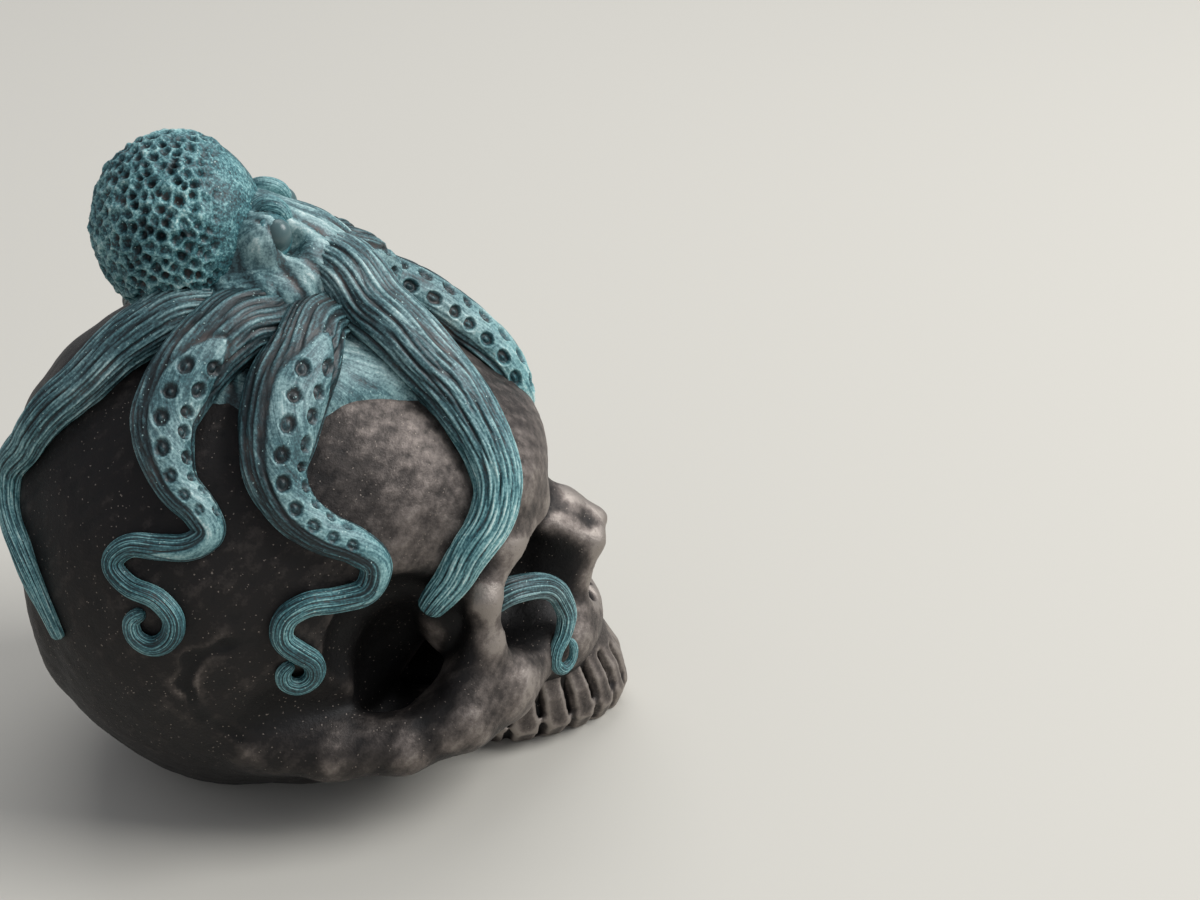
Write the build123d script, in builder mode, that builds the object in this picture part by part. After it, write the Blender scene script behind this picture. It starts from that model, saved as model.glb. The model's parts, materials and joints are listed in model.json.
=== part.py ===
"""Desk ornament: an octopus draped over a human skull that has no lower jaw.

Millimetres. +X is the way the skull faces, +Y is the skull's left, +Z is up.
The origin lies on the flat underside, below the middle of the braincase.
"""

import math
import os

from build123d import *

# Braincase: an egg of oval slices across X, cut flat underneath so that it stands.
cranium_length = 101
cranium_width = 85
cranium_height = 100
cranium_flat_depth = 4.5
# Each slice: place along half the length, rise of its middle, half height and half width.
cranium_slice_shares = [
    (-1.00, 0.04, 0.08, 0.10),
    (-0.94, 0.05, 0.40, 0.42),
    (-0.80, 0.05, 0.67, 0.70),
    (-0.60, 0.03, 0.86, 0.90),
    (-0.30, 0.00, 1.00, 1.00),
    (0.00, 0.01, 0.98, 0.98),
    (0.30, 0.12, 0.82, 0.90),
    (0.60, 0.26, 0.54, 0.77),
    (0.80, 0.31, 0.32, 0.61),
    (0.93, 0.29, 0.18, 0.38),
    (1.00, 0.27, 0.06, 0.12),
]

# Face: level slices from the gum line up to the brow.
face_back = 27
face_depth = 37
face_width = 63
face_height = 48
gum_height = 12
# Each slice: height above the gum line, half width at the back, then three points of its outline
# and the middle of its front, as shares of the depth and of half the width.
face_slice_shares = [
    (0.00, 0.46, (0.40, 0.56), (0.78, 0.44), (0.95, 0.22), 1.00),
    (0.18, 0.55, (0.40, 0.72), (0.74, 0.52), (0.92, 0.26), 0.98),
    (0.34, 0.70, (0.38, 0.90), (0.64, 0.62), (0.84, 0.27), 0.90),
    (0.50, 0.80, (0.34, 0.98), (0.58, 0.66), (0.82, 0.25), 0.89),
    (0.70, 0.80, (0.32, 0.98), (0.52, 0.68), (0.68, 0.25), 0.76),
    (0.88, 0.78, (0.32, 0.94), (0.54, 0.68), (0.62, 0.33), 0.65),
    (1.00, 0.70, (0.26, 0.82), (0.46, 0.60), (0.54, 0.30), 0.57),
]

# Eye sockets and the pear-shaped nose opening, hollowed out of the face.
orbit_diameter = 25
orbit_waist_diameter = 22
orbit_bottom_diameter = 10
orbit_waist_depth = 11
orbit_depth = 28
orbit_spacing = 41
orbit_front = 52
orbit_middle_height = 41
orbit_turn = 20
nose_width = 11
nose_height = 15
nose_depth = 16
nose_front = 63
nose_middle_height = 33

# Nasal bones: a ridge of upright slices that overhangs the nose opening.
nasal_root_front = 46
nasal_length = 18
nasal_root_height = 48.5
nasal_drop = 6.5
nasal_width = 15
nasal_thickness = 11
# Each slice: place along the length, width and thickness.
nasal_slice_shares = [(0.00, 1.00, 1.00), (0.45, 0.84, 0.80), (0.85, 0.46, 0.50), (1.00, 0.20, 0.26)]

# Teeth: a horseshoe that flares out at mid height, with a groove between each two teeth.
arch_length = 31
arch_width = 38
arch_back = 37.5
tooth_depth = 8
groove_radius = 0.9
groove_angles = [-80, -66, -53, -40, -28, -17, -6, 6, 17, 28, 40, 53, 66, 80]
# Each slice: height, length and width.
arch_slice_shares = [(0.00, 0.94, 0.78), (0.42, 1.00, 0.99), (1.00, 0.95, 0.96)]

# Cheek arches: bars that spring from the cheek and join the braincase by the ear.
cheek_bar_radius = 5
# Each stop: forward, sideways and up as shares of half the braincase, and radius.
cheek_bar_shares = [
    (0.93, 0.38, 0.49, 0.88),
    (0.77, 0.60, 0.49, 1.36),
    (0.61, 0.75, 0.46, 1.20),
    (0.40, 0.85, 0.42, 1.00),
    (0.14, 0.86, 0.43, 1.02),
    (-0.12, 0.82, 0.48, 1.00),
]

# Hollows of the temples above the arches: a wide one in the braincase, a deep one behind the cheek
# and a shallow one that runs back along the arch.
temple_length = 30
temple_width = 20
temple_height = 31
temple_forward = 22
temple_level = 42.5
temple_pit_length = 22
temple_pit_width = 16
temple_pit_height = 30
temple_pit_forward = 23
temple_pit_level = 31
temple_slope_length = 44
temple_slope_width = 18
temple_slope_height = 22
temple_slope_forward = 12
temple_slope_level = 30
# How far out the middles of the hollows lie, as shares of half the braincase's width.
temple_side_share = 0.92
temple_pit_side_share = 0.70
temple_slope_side_share = 1.08

# Mastoid bumps behind the ear, which reach down to the table.
mastoid_height = 22
mastoid_radius = 8.5
# Each slice: height, forward and sideways as shares of half the braincase, and radius.
mastoid_slice_shares = [(0.00, 0.17, 0.51, 0.55), (0.40, 0.08, 0.61, 0.85), (1.00, -0.08, 0.68, 1.00)]

# Octopus: bag-shaped mantle behind, head in front of it, both a little to the left.
octopus_side = 4
mantle_length = 32
mantle_width = 31
mantle_height = 35.6
mantle_back = 13.2
mantle_middle_height = 109.5
# Pits in the mantle's skin, which stop short of the head and of the braincase.
pit_spacing = 5.4
pit_radius = 2.4
pit_depth = 1
pit_front_share = 0.45
pit_low_share = -0.45
head_length = 28
head_width = 25
head_height = 25
head_forward = 6
head_middle_height = 103
web_length = 57
web_width = 57
web_height = 37
web_middle_height = 80.5
eye_radius = 2.6
eye_spacing = 18
eye_forward = 4
eye_level = 110.5
horn_height = 8
horn_radius = 2
horn_spacing = 9
horn_forward = 2.5
horn_level = 111

# Arms: round tapering limbs that drape from a ring of roots high on the head over the braincase.
arm_ring_radius = 10
arm_lift_share = 0.42
arm_root_share = 0.85
arm_clearance = 0.2
arm_slice_step = 3.5
# Each arm's widest radius.
arm_radius = {
    "arm_rear_right": 5.4,
    "arm_side_right": 6.8,
    "arm_temple_right": 7.4,
    "arm_brow_right": 6.0,
    "arm_forehead": 5.4,
    "arm_brow_left": 5.8,
    "arm_temple_left": 6.6,
    "arm_rear_left": 5.8,
}
# Height of each arm's sole at its root.
arm_root_level = {
    "arm_rear_right": 95,
    "arm_side_right": 94,
    "arm_temple_right": 99,
    "arm_brow_right": 99,
    "arm_forehead": 99,
    "arm_brow_left": 98.5,
    "arm_temple_left": 96,
    "arm_rear_left": 94,
}
# Turn of each arm's root round the head, in degrees (0 is forward, 90 is to the skull's left).
arm_root_turn = {
    "arm_rear_right": 222,
    "arm_side_right": 256,
    "arm_temple_right": 306,
    "arm_brow_right": 330,
    "arm_forehead": 10,
    "arm_brow_left": 48,
    "arm_temple_left": 92,
    "arm_rear_left": 138,
}
# Each arm's stops on the braincase: longitude and latitude in degrees, seen from its middle,
# and the radius there as a share of the arm's widest radius.
arm_stop_shares = {
    "arm_rear_right": [
        (-150, 70, 1.00), (-154, 61, 0.92), (-155, 53, 0.85), (-158, 45, 0.79), (-161, 36, 0.70),
        (-164, 28, 0.59), (-161, 22, 0.50), (-153, 17, 0.42), (-147, 10, 0.35), (-143, 5, 0.29),
        (-141, 1, 0.24),
    ],
    "arm_side_right": [
        (-113, 73, 1.00), (-121, 65, 0.97), (-123, 58, 0.91), (-123, 52, 0.82), (-120, 47, 0.70),
        (-115, 41, 0.54), (-108, 36, 0.44), (-106, 32, 0.39), (-110, 29, 0.35), (-117, 28, 0.32),
        (-124, 27, 0.29), (-127, 23, 0.28), (-123, 19, 0.26), (-116, 17, 0.25), (-113, 12, 0.25),
        (-117, 7, 0.22), (-121, 9, 0.19),
    ],
    "arm_temple_right": [
        (-52, 72, 0.90), (-69, 67, 1.00), (-80, 61, 1.00), (-86, 53, 0.92), (-88, 45, 0.73), (-84, 37, 0.58),
        (-77, 31, 0.50), (-69, 26, 0.43), (-65, 21, 0.38), (-68, 15, 0.34), (-75, 14, 0.31), (-84, 14, 0.29),
        (-89, 11, 0.28), (-90, 6, 0.27), (-86, 1, 0.25), (-83, -4, 0.24), (-86, -9, 0.20), (-90, -7, 0.17),
    ],
    "arm_brow_right": [
        (-11, 65, 1.00), (-21, 53, 0.93), (-24, 42, 0.83), (-28, 33, 0.77), (-32, 26, 0.72), (-37, 21, 0.68),
        (-43, 16, 0.65), (-47, 11, 0.60), (-51, 6.5, 0.50), (-53, 3.5, 0.40),
    ],
    "arm_forehead": [
        (30, 61, 1.00), (27, 53, 0.93), (25, 45, 0.89), (21, 38, 0.85), (16, 31, 0.81), (13, 25, 0.74),
        (14, 19, 0.63), (20, 14, 0.48), (27, 11, 0.30),
    ],
    "arm_brow_left": [
        (50, 63, 1.00), (46, 52, 0.93), (40, 42, 0.83), (36, 33, 0.72), (38, 25, 0.62), (45, 18, 0.53),
        (52, 12, 0.45), (53, 5, 0.36), (48, 1, 0.24),
    ],
    "arm_temple_left": [
        (72, 66, 1.00), (83, 58, 0.97), (88, 49, 0.85), (86, 41, 0.68), (79, 34, 0.56), (71, 28, 0.48),
        (67, 21, 0.41), (70, 15, 0.36), (79, 14, 0.33), (87, 11, 0.30), (88, 5, 0.26), (83, 3, 0.20),
    ],
    "arm_rear_left": [
        (125, 70, 1.00), (130, 60, 0.97), (132, 51, 0.86), (128, 43, 0.72), (120, 37, 0.59), (114, 31, 0.48),
        (118, 25, 0.41), (125, 22, 0.36), (127, 16, 0.31), (121, 12, 0.26), (116, 14, 0.21),
    ],
}

# The end of the right brow arm, which comes out again through the right eye socket.
# Its way as shares of the face: forward from its back, sideways from the middle, up from the gum line.
stray_tip_root_radius = 2.6
stray_tip_end_radius = 1.3
stray_tip_way_shares = [
    (0.32, -0.79, 0.64),
    (0.46, -0.70, 0.63),
    (0.63, -0.55, 0.58),
    (0.75, -0.45, 0.46),
    (0.80, -0.40, 0.33),
    (0.78, -0.43, 0.22),
    (0.74, -0.47, 0.15),
]

cranium_half_length = cranium_length / 2
cranium_half_width = cranium_width / 2
cranium_half_height = cranium_height / 2
cranium_middle_height = cranium_half_height - cranium_flat_depth
cranium_middle = Vector(0, 0, cranium_middle_height)
horn_tip_radius = horn_radius / 4


def ellipsoid(length, width, height):
    """A ball stretched to the given three full sizes."""
    return scale(Sphere(1), by=(length / 2, width / 2, height / 2))


def surface_seat(origin, direction):
    """Where a line from the origin leaves the braincase, and the way out of the surface there."""
    hits = cranium_egg.find_intersection_points(Axis(origin, direction))
    point, normal = max(hits, key=lambda hit: (hit[0] - origin).dot(direction))
    return point, normal if normal.dot(direction) > 0 else -normal


def limb(seats, outward, radii):
    """A tapering arm along its seats: round above, with a flat sole just off what carries it."""
    with BuildPart() as arm:
        for number, (seat, radius) in enumerate(zip(seats, radii)):
            before = seats[max(number - 1, 0)]
            after = seats[min(number + 1, len(seats) - 1)]
            along = (after - before).normalized()
            out = outward[number] - along * outward[number].dot(along)
            middle = arm_clearance + radius * arm_lift_share
            sole_half_width = radius * math.sqrt(1 - arm_lift_share**2)
            corners = [(arm_clearance, side * sole_half_width) for side in (-1, 1)]
            flanks = [(middle + radius * math.sqrt(0.5), side * radius * math.sqrt(0.5)) for side in (-1, 1)]
            top = (middle + radius, 0)
            with BuildSketch(Plane(origin=seat, x_dir=out, z_dir=along)):
                with BuildLine():
                    ThreePointArc(corners[0], flanks[0], top)
                    ThreePointArc(top, flanks[1], corners[1])
                    Line(corners[1], corners[0])
                make_face()
        loft(ruled=True)
    return arm.part


def read_between(place, places, values):
    """A value at a place between two stops, in proportion."""
    for start, end, before, after in zip(places, places[1:], values, values[1:]):
        if place <= end:
            break
    return before + (after - before) * (place - start) / (end - start)


def cut_by(body, cutters=()):
    """The largest piece of a body that is left outside its neighbours."""
    for cutter in cutters:
        body = body - cutter
    return body.solids().sort_by(SortBy.VOLUME)[-1]


pieces = {}

with BuildPart() as egg:
    for along, rise, half_height, half_width in cranium_slice_shares:
        with BuildSketch(Plane.YZ.offset(along * cranium_half_length)):
            with Locations((0, cranium_middle_height + rise * cranium_half_height)):
                Ellipse(half_width * cranium_half_width, half_height * cranium_half_height)
    loft()
    split(bisect_by=Plane.XY, keep=Keep.TOP)
cranium_egg = egg.part

# Eye sockets narrow as they run back and inward.
orbit_voids = []
for side in (-1, 1):
    orbit_mouth = Plane(
        origin=(orbit_front, side * orbit_spacing / 2, orbit_middle_height),
        z_dir=Vector(-1, 0, 0).rotate(Axis.Z, side * orbit_turn),
    )
    with BuildPart(orbit_mouth) as orbit:
        Cone(
            orbit_diameter / 2,
            orbit_waist_diameter / 2,
            orbit_waist_depth,
            align=(Align.CENTER, Align.CENTER, Align.MIN),
        )
        with Locations((0, 0, orbit_waist_depth)):
            Cone(
                orbit_waist_diameter / 2,
                orbit_bottom_diameter / 2,
                orbit_depth - orbit_waist_depth,
                align=(Align.CENTER, Align.CENTER, Align.MIN),
            )
    orbit_voids.append(orbit.part)
nose_void = Pos(nose_front, 0, nose_middle_height) * ellipsoid(nose_depth, nose_width, nose_height)

# Hollows of the temples, three on each side.
temple_voids = []
for side in (-1, 1):
    wide_place = Pos(temple_forward, side * temple_side_share * cranium_half_width, temple_level)
    pit_place = Pos(temple_pit_forward, side * temple_pit_side_share * cranium_half_width, temple_pit_level)
    slope_side = side * temple_slope_side_share * cranium_half_width
    slope_place = Pos(temple_slope_forward, slope_side, temple_slope_level)
    temple_voids.append(wide_place * ellipsoid(temple_length, temple_width, temple_height))
    temple_voids.append(pit_place * ellipsoid(temple_pit_length, temple_pit_width, temple_pit_height))
    temple_voids.append(slope_place * ellipsoid(temple_slope_length, temple_slope_width, temple_slope_height))

with BuildPart() as cranium:
    add(cranium_egg)
    add(orbit_voids, mode=Mode.SUBTRACT)
    add(temple_voids, mode=Mode.SUBTRACT)
pieces["cranium"] = cut_by(cranium.part)

with BuildPart() as face:
    for rise, back, *outline, front in face_slice_shares:
        half = face_width / 2
        flank = [(face_back, -back * half)]
        flank += [(face_back + x * face_depth, -y * half) for x, y in outline]
        mirrored = [(x, -y) for x, y in reversed(flank)]
        with BuildSketch(Plane.XY.offset(gum_height + rise * face_height)):
            with BuildLine():
                Spline([*flank, (face_back + front * face_depth, 0), *mirrored])
                Line(mirrored[-1], flank[0])
            make_face()
    loft()
pieces["face"] = cut_by(face.part, [cranium_egg, *orbit_voids, nose_void, *temple_voids])

with BuildPart() as nasal_bones:
    for along, width, thickness in nasal_slice_shares:
        slice_front = nasal_root_front + along * nasal_length
        with BuildSketch(Plane.YZ.offset(slice_front)):
            with Locations((0, nasal_root_height - along * nasal_drop)):
                Ellipse(width * nasal_width / 2, thickness * nasal_thickness / 2)
    loft()
pieces["nasal_bones"] = cut_by(nasal_bones.part, [pieces["face"], cranium_egg])

with BuildPart() as upper_teeth:
    for rise, length, width in arch_slice_shares:
        with BuildSketch(Plane.XY.offset(rise * gum_height)):
            with Locations((arch_back, 0)):
                Ellipse(length * arch_length, width * arch_width / 2)
            with Locations((arch_back - arch_length, 0)):
                Rectangle(2 * arch_length, 2 * arch_width, mode=Mode.SUBTRACT)
    loft()
    with BuildSketch():
        with Locations((arch_back, 0)):
            Ellipse(arch_length - tooth_depth, arch_width / 2 - tooth_depth)
    extrude(amount=gum_height, mode=Mode.SUBTRACT)
    for angle in groove_angles:
        groove_x = arch_back + arch_length * math.cos(math.radians(angle))
        groove_y = arch_width / 2 * math.sin(math.radians(angle))
        with Locations((groove_x, groove_y, gum_height / 2)):
            Cylinder(groove_radius, gum_height, mode=Mode.SUBTRACT)
pieces["upper_teeth"] = cut_by(upper_teeth.part, [pieces["face"]])

for side, side_name in ((-1, "right"), (1, "left")):
    bar_stops = []
    for forward, sideways, up, radius in cheek_bar_shares:
        spot = Vector(
            forward * cranium_half_length,
            side * sideways * cranium_half_width,
            up * cranium_half_height,
        )
        bar_stops.append((spot, radius * cheek_bar_radius))
    with BuildPart() as cheek_bar:
        for number, (spot, radius) in enumerate(bar_stops):
            along = bar_stops[min(number + 1, len(bar_stops) - 1)][0] - bar_stops[max(number - 1, 0)][0]
            with BuildSketch(Plane(origin=spot, x_dir=(0, 0, 1), z_dir=along)):
                Circle(radius)
        loft()
    pieces[f"cheek_arch_{side_name}"] = cut_by(cheek_bar.part, [pieces["cranium"], pieces["face"]])

    with BuildPart() as mastoid:
        for rise, forward, sideways, radius in mastoid_slice_shares:
            with BuildSketch(Plane.XY.offset(rise * mastoid_height)):
                with Locations((forward * cranium_half_length, side * sideways * cranium_half_width)):
                    Circle(radius * mastoid_radius)
        loft()
    pieces[f"mastoid_{side_name}"] = cut_by(mastoid.part, [cranium_egg, pieces[f"cheek_arch_{side_name}"]])

mantle_middle = Vector(-mantle_back, octopus_side, mantle_middle_height)
mantle_ball = Pos(mantle_middle) * ellipsoid(mantle_length, mantle_width, mantle_height)
head_ball = Pos(head_forward, octopus_side, head_middle_height) * ellipsoid(
    head_length, head_width, head_height
)
web_dome = Pos(head_forward, octopus_side, web_middle_height) * ellipsoid(web_length, web_width, web_height)
eyes = {}
for side, side_name in ((-1, "right"), (1, "left")):
    with BuildPart() as eye:
        with Locations((eye_forward, octopus_side + side * eye_spacing / 2, eye_level)):
            Sphere(eye_radius)
    eyes[f"eye_{side_name}"] = eye.part

# The pits are spread evenly over the mantle, each turned from the one before by the golden angle.
mantle_mean_radius = (mantle_length + mantle_width + mantle_height) / 6
pit_count = round(4 * math.pi * mantle_mean_radius**2 / pit_spacing**2)
golden_angle = math.pi * (3 - math.sqrt(5))
pit_middles = []
for number in range(pit_count):
    up = 1 - (2 * number + 1) / pit_count
    ring = math.sqrt(1 - up**2)
    forward = ring * math.cos(number * golden_angle)
    sideways = ring * math.sin(number * golden_angle)
    if forward > pit_front_share or up < pit_low_share:
        continue
    spot = Vector(forward * mantle_length, sideways * mantle_width, up * mantle_height) / 2
    out = Vector(forward / mantle_length, sideways / mantle_width, up / mantle_height).normalized()
    pit_middles.append(mantle_middle + spot + out * (pit_radius - pit_depth))

with BuildPart() as mantle:
    add(mantle_ball)
    with Locations(pit_middles):
        Sphere(pit_radius, mode=Mode.SUBTRACT)
    add(cranium_egg, mode=Mode.SUBTRACT)
    add(list(eyes.values()), mode=Mode.SUBTRACT)
pieces["mantle"] = cut_by(mantle.part)

with BuildPart() as head:
    add(head_ball)
    add(web_dome)
    add(mantle_ball, mode=Mode.SUBTRACT)
    add(cranium_egg, mode=Mode.SUBTRACT)
    add(list(eyes.values()), mode=Mode.SUBTRACT)
pieces["head"] = cut_by(head.part)
pieces.update(eyes)

for side, side_name in ((-1, "right"), (1, "left")):
    with BuildPart() as horn:
        with Locations((horn_forward, octopus_side + side * horn_spacing / 2, horn_level + horn_height / 2)):
            Cone(horn_radius, horn_tip_radius, horn_height)
    pieces[f"horn_{side_name}"] = cut_by(horn.part, [mantle_ball, pieces["head"], *eyes.values()])

arms = []
for name, arm_stops in arm_stop_shares.items():
    turn = math.radians(arm_root_turn[name])
    stops = [
        Vector(
            head_forward + arm_ring_radius * math.cos(turn),
            octopus_side + arm_ring_radius * math.sin(turn),
            arm_root_level[name],
        )
    ]
    stop_radii = [arm_root_share * arm_radius[name]]
    for longitude, latitude, share in arm_stops:
        around = math.radians(longitude)
        up = math.radians(latitude)
        direction = Vector(math.cos(around) * math.cos(up), math.sin(around) * math.cos(up), math.sin(up))
        stops.append(surface_seat(cranium_middle, direction)[0])
        stop_radii.append(share * arm_radius[name])
    route = Edge.make_spline(stops)
    stop_places = [route.param_at_point(stop) for stop in stops]
    slices = round(route.length / arm_slice_step)
    seats = []
    outward = []
    radii = []
    for number in range(slices + 1):
        place = number / slices
        from_middle = route @ place - cranium_middle
        seat, normal = surface_seat(cranium_middle, from_middle.normalized())
        rise = max(from_middle.length - (seat - cranium_middle).length, 0)
        seats.append(seat + from_middle.normalized() * rise)
        outward.append(normal)
        radii.append(read_between(place, stop_places, stop_radii))
    cutters = [pieces["head"]]
    if "rear" in name:
        cutters.append(mantle_ball)
    if "brow" in name or "forehead" in name:
        cutters.append(pieces["face"])
    cutters.extend(arms[-1:])
    arms.append(cut_by(limb(seats, outward, radii), cutters))
    pieces[name] = arms[-1]

stops = [
    Vector(
        face_back + forward * face_depth,
        sideways * face_width / 2,
        gum_height + up * face_height,
    )
    for forward, sideways, up in stray_tip_way_shares
]
route = Edge.make_spline(stops)
slices = round(route.length / arm_slice_step)
seats = [route @ (number / slices) for number in range(slices + 1)]
radii = [
    stray_tip_root_radius + (stray_tip_end_radius - stray_tip_root_radius) * number / slices
    for number in range(slices + 1)
]
away_from_face = [Vector(1, -1, 0).normalized()] * len(seats)
pieces["arm_brow_right_tip"] = cut_by(limb(seats, away_from_face, radii), [cranium_egg, pieces["face"]])

os.makedirs("parts", exist_ok=True)
for name, piece in pieces.items():
    piece.label = name
    export_step(piece, f"parts/{name}.step")
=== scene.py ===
# %% [markdown]
# # Octopus on a skull
# A painted resin ornament: an octopus lies over a human skull that has no lower jaw.
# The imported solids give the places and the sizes. This lesson models the sculpted skin
# that the solids only block out, and paints it.

# %% The frame
import json
import math

import bpy
import numpy as np
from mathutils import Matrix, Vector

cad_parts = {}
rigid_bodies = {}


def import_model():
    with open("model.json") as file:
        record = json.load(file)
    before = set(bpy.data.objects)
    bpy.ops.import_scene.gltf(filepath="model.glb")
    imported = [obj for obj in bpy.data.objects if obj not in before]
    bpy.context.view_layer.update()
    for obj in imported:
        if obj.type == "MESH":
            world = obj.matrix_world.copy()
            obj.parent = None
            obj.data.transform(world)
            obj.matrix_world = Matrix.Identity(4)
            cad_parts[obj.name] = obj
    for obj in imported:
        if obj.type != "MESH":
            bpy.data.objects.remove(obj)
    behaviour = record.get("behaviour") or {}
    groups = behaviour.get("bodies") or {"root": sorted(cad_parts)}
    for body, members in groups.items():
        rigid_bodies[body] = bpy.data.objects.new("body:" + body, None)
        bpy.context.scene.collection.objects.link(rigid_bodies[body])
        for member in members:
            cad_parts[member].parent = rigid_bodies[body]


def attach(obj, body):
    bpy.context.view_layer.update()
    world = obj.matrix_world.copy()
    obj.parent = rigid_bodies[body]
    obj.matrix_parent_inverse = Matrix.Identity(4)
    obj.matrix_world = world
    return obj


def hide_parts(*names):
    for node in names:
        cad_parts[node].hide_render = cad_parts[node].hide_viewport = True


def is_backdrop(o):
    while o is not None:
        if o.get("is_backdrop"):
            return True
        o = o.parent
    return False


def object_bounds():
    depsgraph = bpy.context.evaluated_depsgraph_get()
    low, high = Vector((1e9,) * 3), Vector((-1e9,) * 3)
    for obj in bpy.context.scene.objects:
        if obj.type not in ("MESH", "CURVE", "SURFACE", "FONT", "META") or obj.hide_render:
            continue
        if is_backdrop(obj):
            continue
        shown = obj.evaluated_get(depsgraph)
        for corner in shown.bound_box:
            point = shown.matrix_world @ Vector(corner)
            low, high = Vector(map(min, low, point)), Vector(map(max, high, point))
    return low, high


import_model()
solid_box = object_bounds()
mm = 0.001
print("solid box in mm:", [[round(value / mm, 1) for value in corner] for corner in solid_box])

# %% [markdown]
# ## Clay
# A sculptor presses lumps together and scoops hollows out. The same can be done with numbers:
# a block of points holds, at each point, the distance to the surface of the clay, with minus
# inside. Two lumps are joined by the smaller distance, a hollow is cut by the larger one, and
# a soft join rounds the seam. Metaballs or a remesh of joined balls would give rounder,
# less exact seams, so the distance block is used for bone, head and teeth.

# %% Tools for the clay
# Keeps a division from failing where a length is nought.
TINY = 1e-6


def lump(points, middle, radii):
    """Distance to an egg with three half sizes."""
    offset = points - np.array(middle, dtype=np.float32)
    radii = np.array(radii, dtype=np.float32)
    near = np.linalg.norm(offset / radii, axis=-1)
    slope = np.linalg.norm(offset / radii**2, axis=-1)
    return near * (near - 1) / np.maximum(slope, TINY)


def roll(points, start, end, start_radius, end_radius):
    """Distance to a roll of clay that tapers from one end to the other."""
    start = np.array(start, dtype=np.float32)
    way = np.array(end, dtype=np.float32) - start
    offset = points - start
    share = np.clip((offset @ way) / (way @ way), 0, 1)
    radius = start_radius + share * (end_radius - start_radius)
    return np.linalg.norm(offset - share[..., None] * way, axis=-1) - radius


def press(first, second, soft):
    """Joins two lumps; soft is the width of the rounded seam."""
    blend = np.clip(0.5 + 0.5 * (second - first) / soft, 0, 1)
    return second + (first - second) * blend - soft * blend * (1 - blend)


def scoop(body, hollow, soft):
    """Cuts a hollow out of a body; soft rounds the rim."""
    return -press(-body, hollow, soft)


print("middle of a roll of 2 mm:", roll(np.zeros((1, 3)), (0, 0, 0), (0, 0, 1), 2, 2)[0], "mm from its skin")

# %% [markdown]
# The skin lies where the distance changes its sign. Each small cube of the block that the skin
# passes through gets one corner, in the middle of the places where the cube's edges are crossed,
# and the four cubes around a crossed edge share a face. Blender's remesh would need a mesh to
# start from, so the skin is worked out from the block itself.

# %% Block of points and its skin
def point_block(low, size, step):
    """A regular block of points, from its low corner, its size and the step between points."""
    counts = (size / step).astype(int)
    axes = [low[k] + step * np.arange(counts[k]) for k in range(3)]
    return np.stack(np.meshgrid(*axes, indexing="ij"), axis=-1).astype(np.float32)


def skin(field, low, step):
    """Turns a block of distances into vertices and four-sided faces, facing outward."""
    shape = np.array(field.shape) - 1
    total = np.zeros((*shape, 3), dtype=np.float32)
    count = np.zeros(shape, dtype=np.int16)
    crossings = []
    for axis in range(3):
        ahead = np.roll(field, -1, axis)
        crosses = (field < 0) != (ahead < 0)
        crosses[tuple(slice(-1, None) if k == axis else slice(None) for k in range(3))] = False
        spots = np.argwhere(crosses)
        start = field[crosses]
        share = start / (start - ahead[crosses])
        where = spots.astype(np.float32)
        where[:, axis] += share
        sides = [k for k in range(3) if k != axis]
        cells = []
        for back_first, back_second in ((0, 0), (1, 0), (1, 1), (0, 1)):
            cell = spots.copy()
            cell[:, sides[0]] -= back_first
            cell[:, sides[1]] -= back_second
            cells.append(cell)
        inner = np.all([np.all((cell >= 0) & (cell < shape), axis=1) for cell in cells], axis=0)
        cells = [cell[inner] for cell in cells]
        for cell in cells:
            np.add.at(total, tuple(cell.T), where[inner])
            np.add.at(count, tuple(cell.T), 1)
        crossings.append((cells, (start[inner] < 0) != (axis == 1)))
    number = np.full(shape, -1)
    used = count > 0
    number[used] = np.arange(used.sum())
    verts = np.array(low) + step * total[used] / count[used][:, None]
    faces = []
    for cells, forward in crossings:
        quad = np.stack([number[tuple(cell.T)] for cell in cells], axis=1)
        faces.append(np.where(forward[:, None], quad, quad[:, ::-1]))
    return verts, np.concatenate(faces)


# %% [markdown]
# ## The skull's shape
# The skull is one smooth body of bone forms: an egg-shaped braincase, a heavy brow, wide round
# eye sockets, a hooked nose, cheek bones that run back as arches, and a muzzle of ribbed teeth.
# Both halves are modelled alike, so the block is worked out from the distance to the middle
# plane. The braincase repeats the slices of the solid one, so that skin and solid agree.

# %% Slices of the braincase
BRAINCASE_HALF = np.array([101, 85, 100]) / 2
BRAINCASE_FLAT = 4.5
BRAINCASE_FRONT = 46.5
BRAINCASE_BACK = -49.8
END_ROUNDING = 6.0
BRAINCASE_MIDDLE = np.array([0, 0, BRAINCASE_HALF[2] - BRAINCASE_FLAT])
# Each slice: place along half the length, rise of its middle, half height and half width, as shares.
BRAINCASE_SLICES = np.array([
    (-1.00, 0.04, 0.08, 0.10),
    (-0.94, 0.05, 0.40, 0.42),
    (-0.80, 0.05, 0.67, 0.70),
    (-0.60, 0.03, 0.86, 0.90),
    (-0.30, 0.00, 1.00, 1.00),
    (0.00, 0.01, 0.98, 0.98),
    (0.30, 0.12, 0.82, 0.90),
    (0.60, 0.26, 0.54, 0.77),
    (0.80, 0.31, 0.32, 0.61),
    (0.93, 0.29, 0.18, 0.38),
    (1.00, 0.27, 0.06, 0.12),
])


def smooth_table(x, places, values):
    """Reads a table with a smooth curve through its rows."""
    slopes = np.gradient(values, places)
    row = np.clip(np.searchsorted(places, x) - 1, 0, len(places) - 2)
    width = places[row + 1] - places[row]
    t = np.clip((x - places[row]) / width, 0, 1)
    rise = values[row + 1] - values[row]
    start = slopes[row] * width
    end = slopes[row + 1] * width
    return values[row] + t * (start + t * (3 * rise - 2 * start - end + t * (start + end - 2 * rise)))


print("braincase:", 2 * BRAINCASE_HALF, "mm in", len(BRAINCASE_SLICES), "slices")

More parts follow.
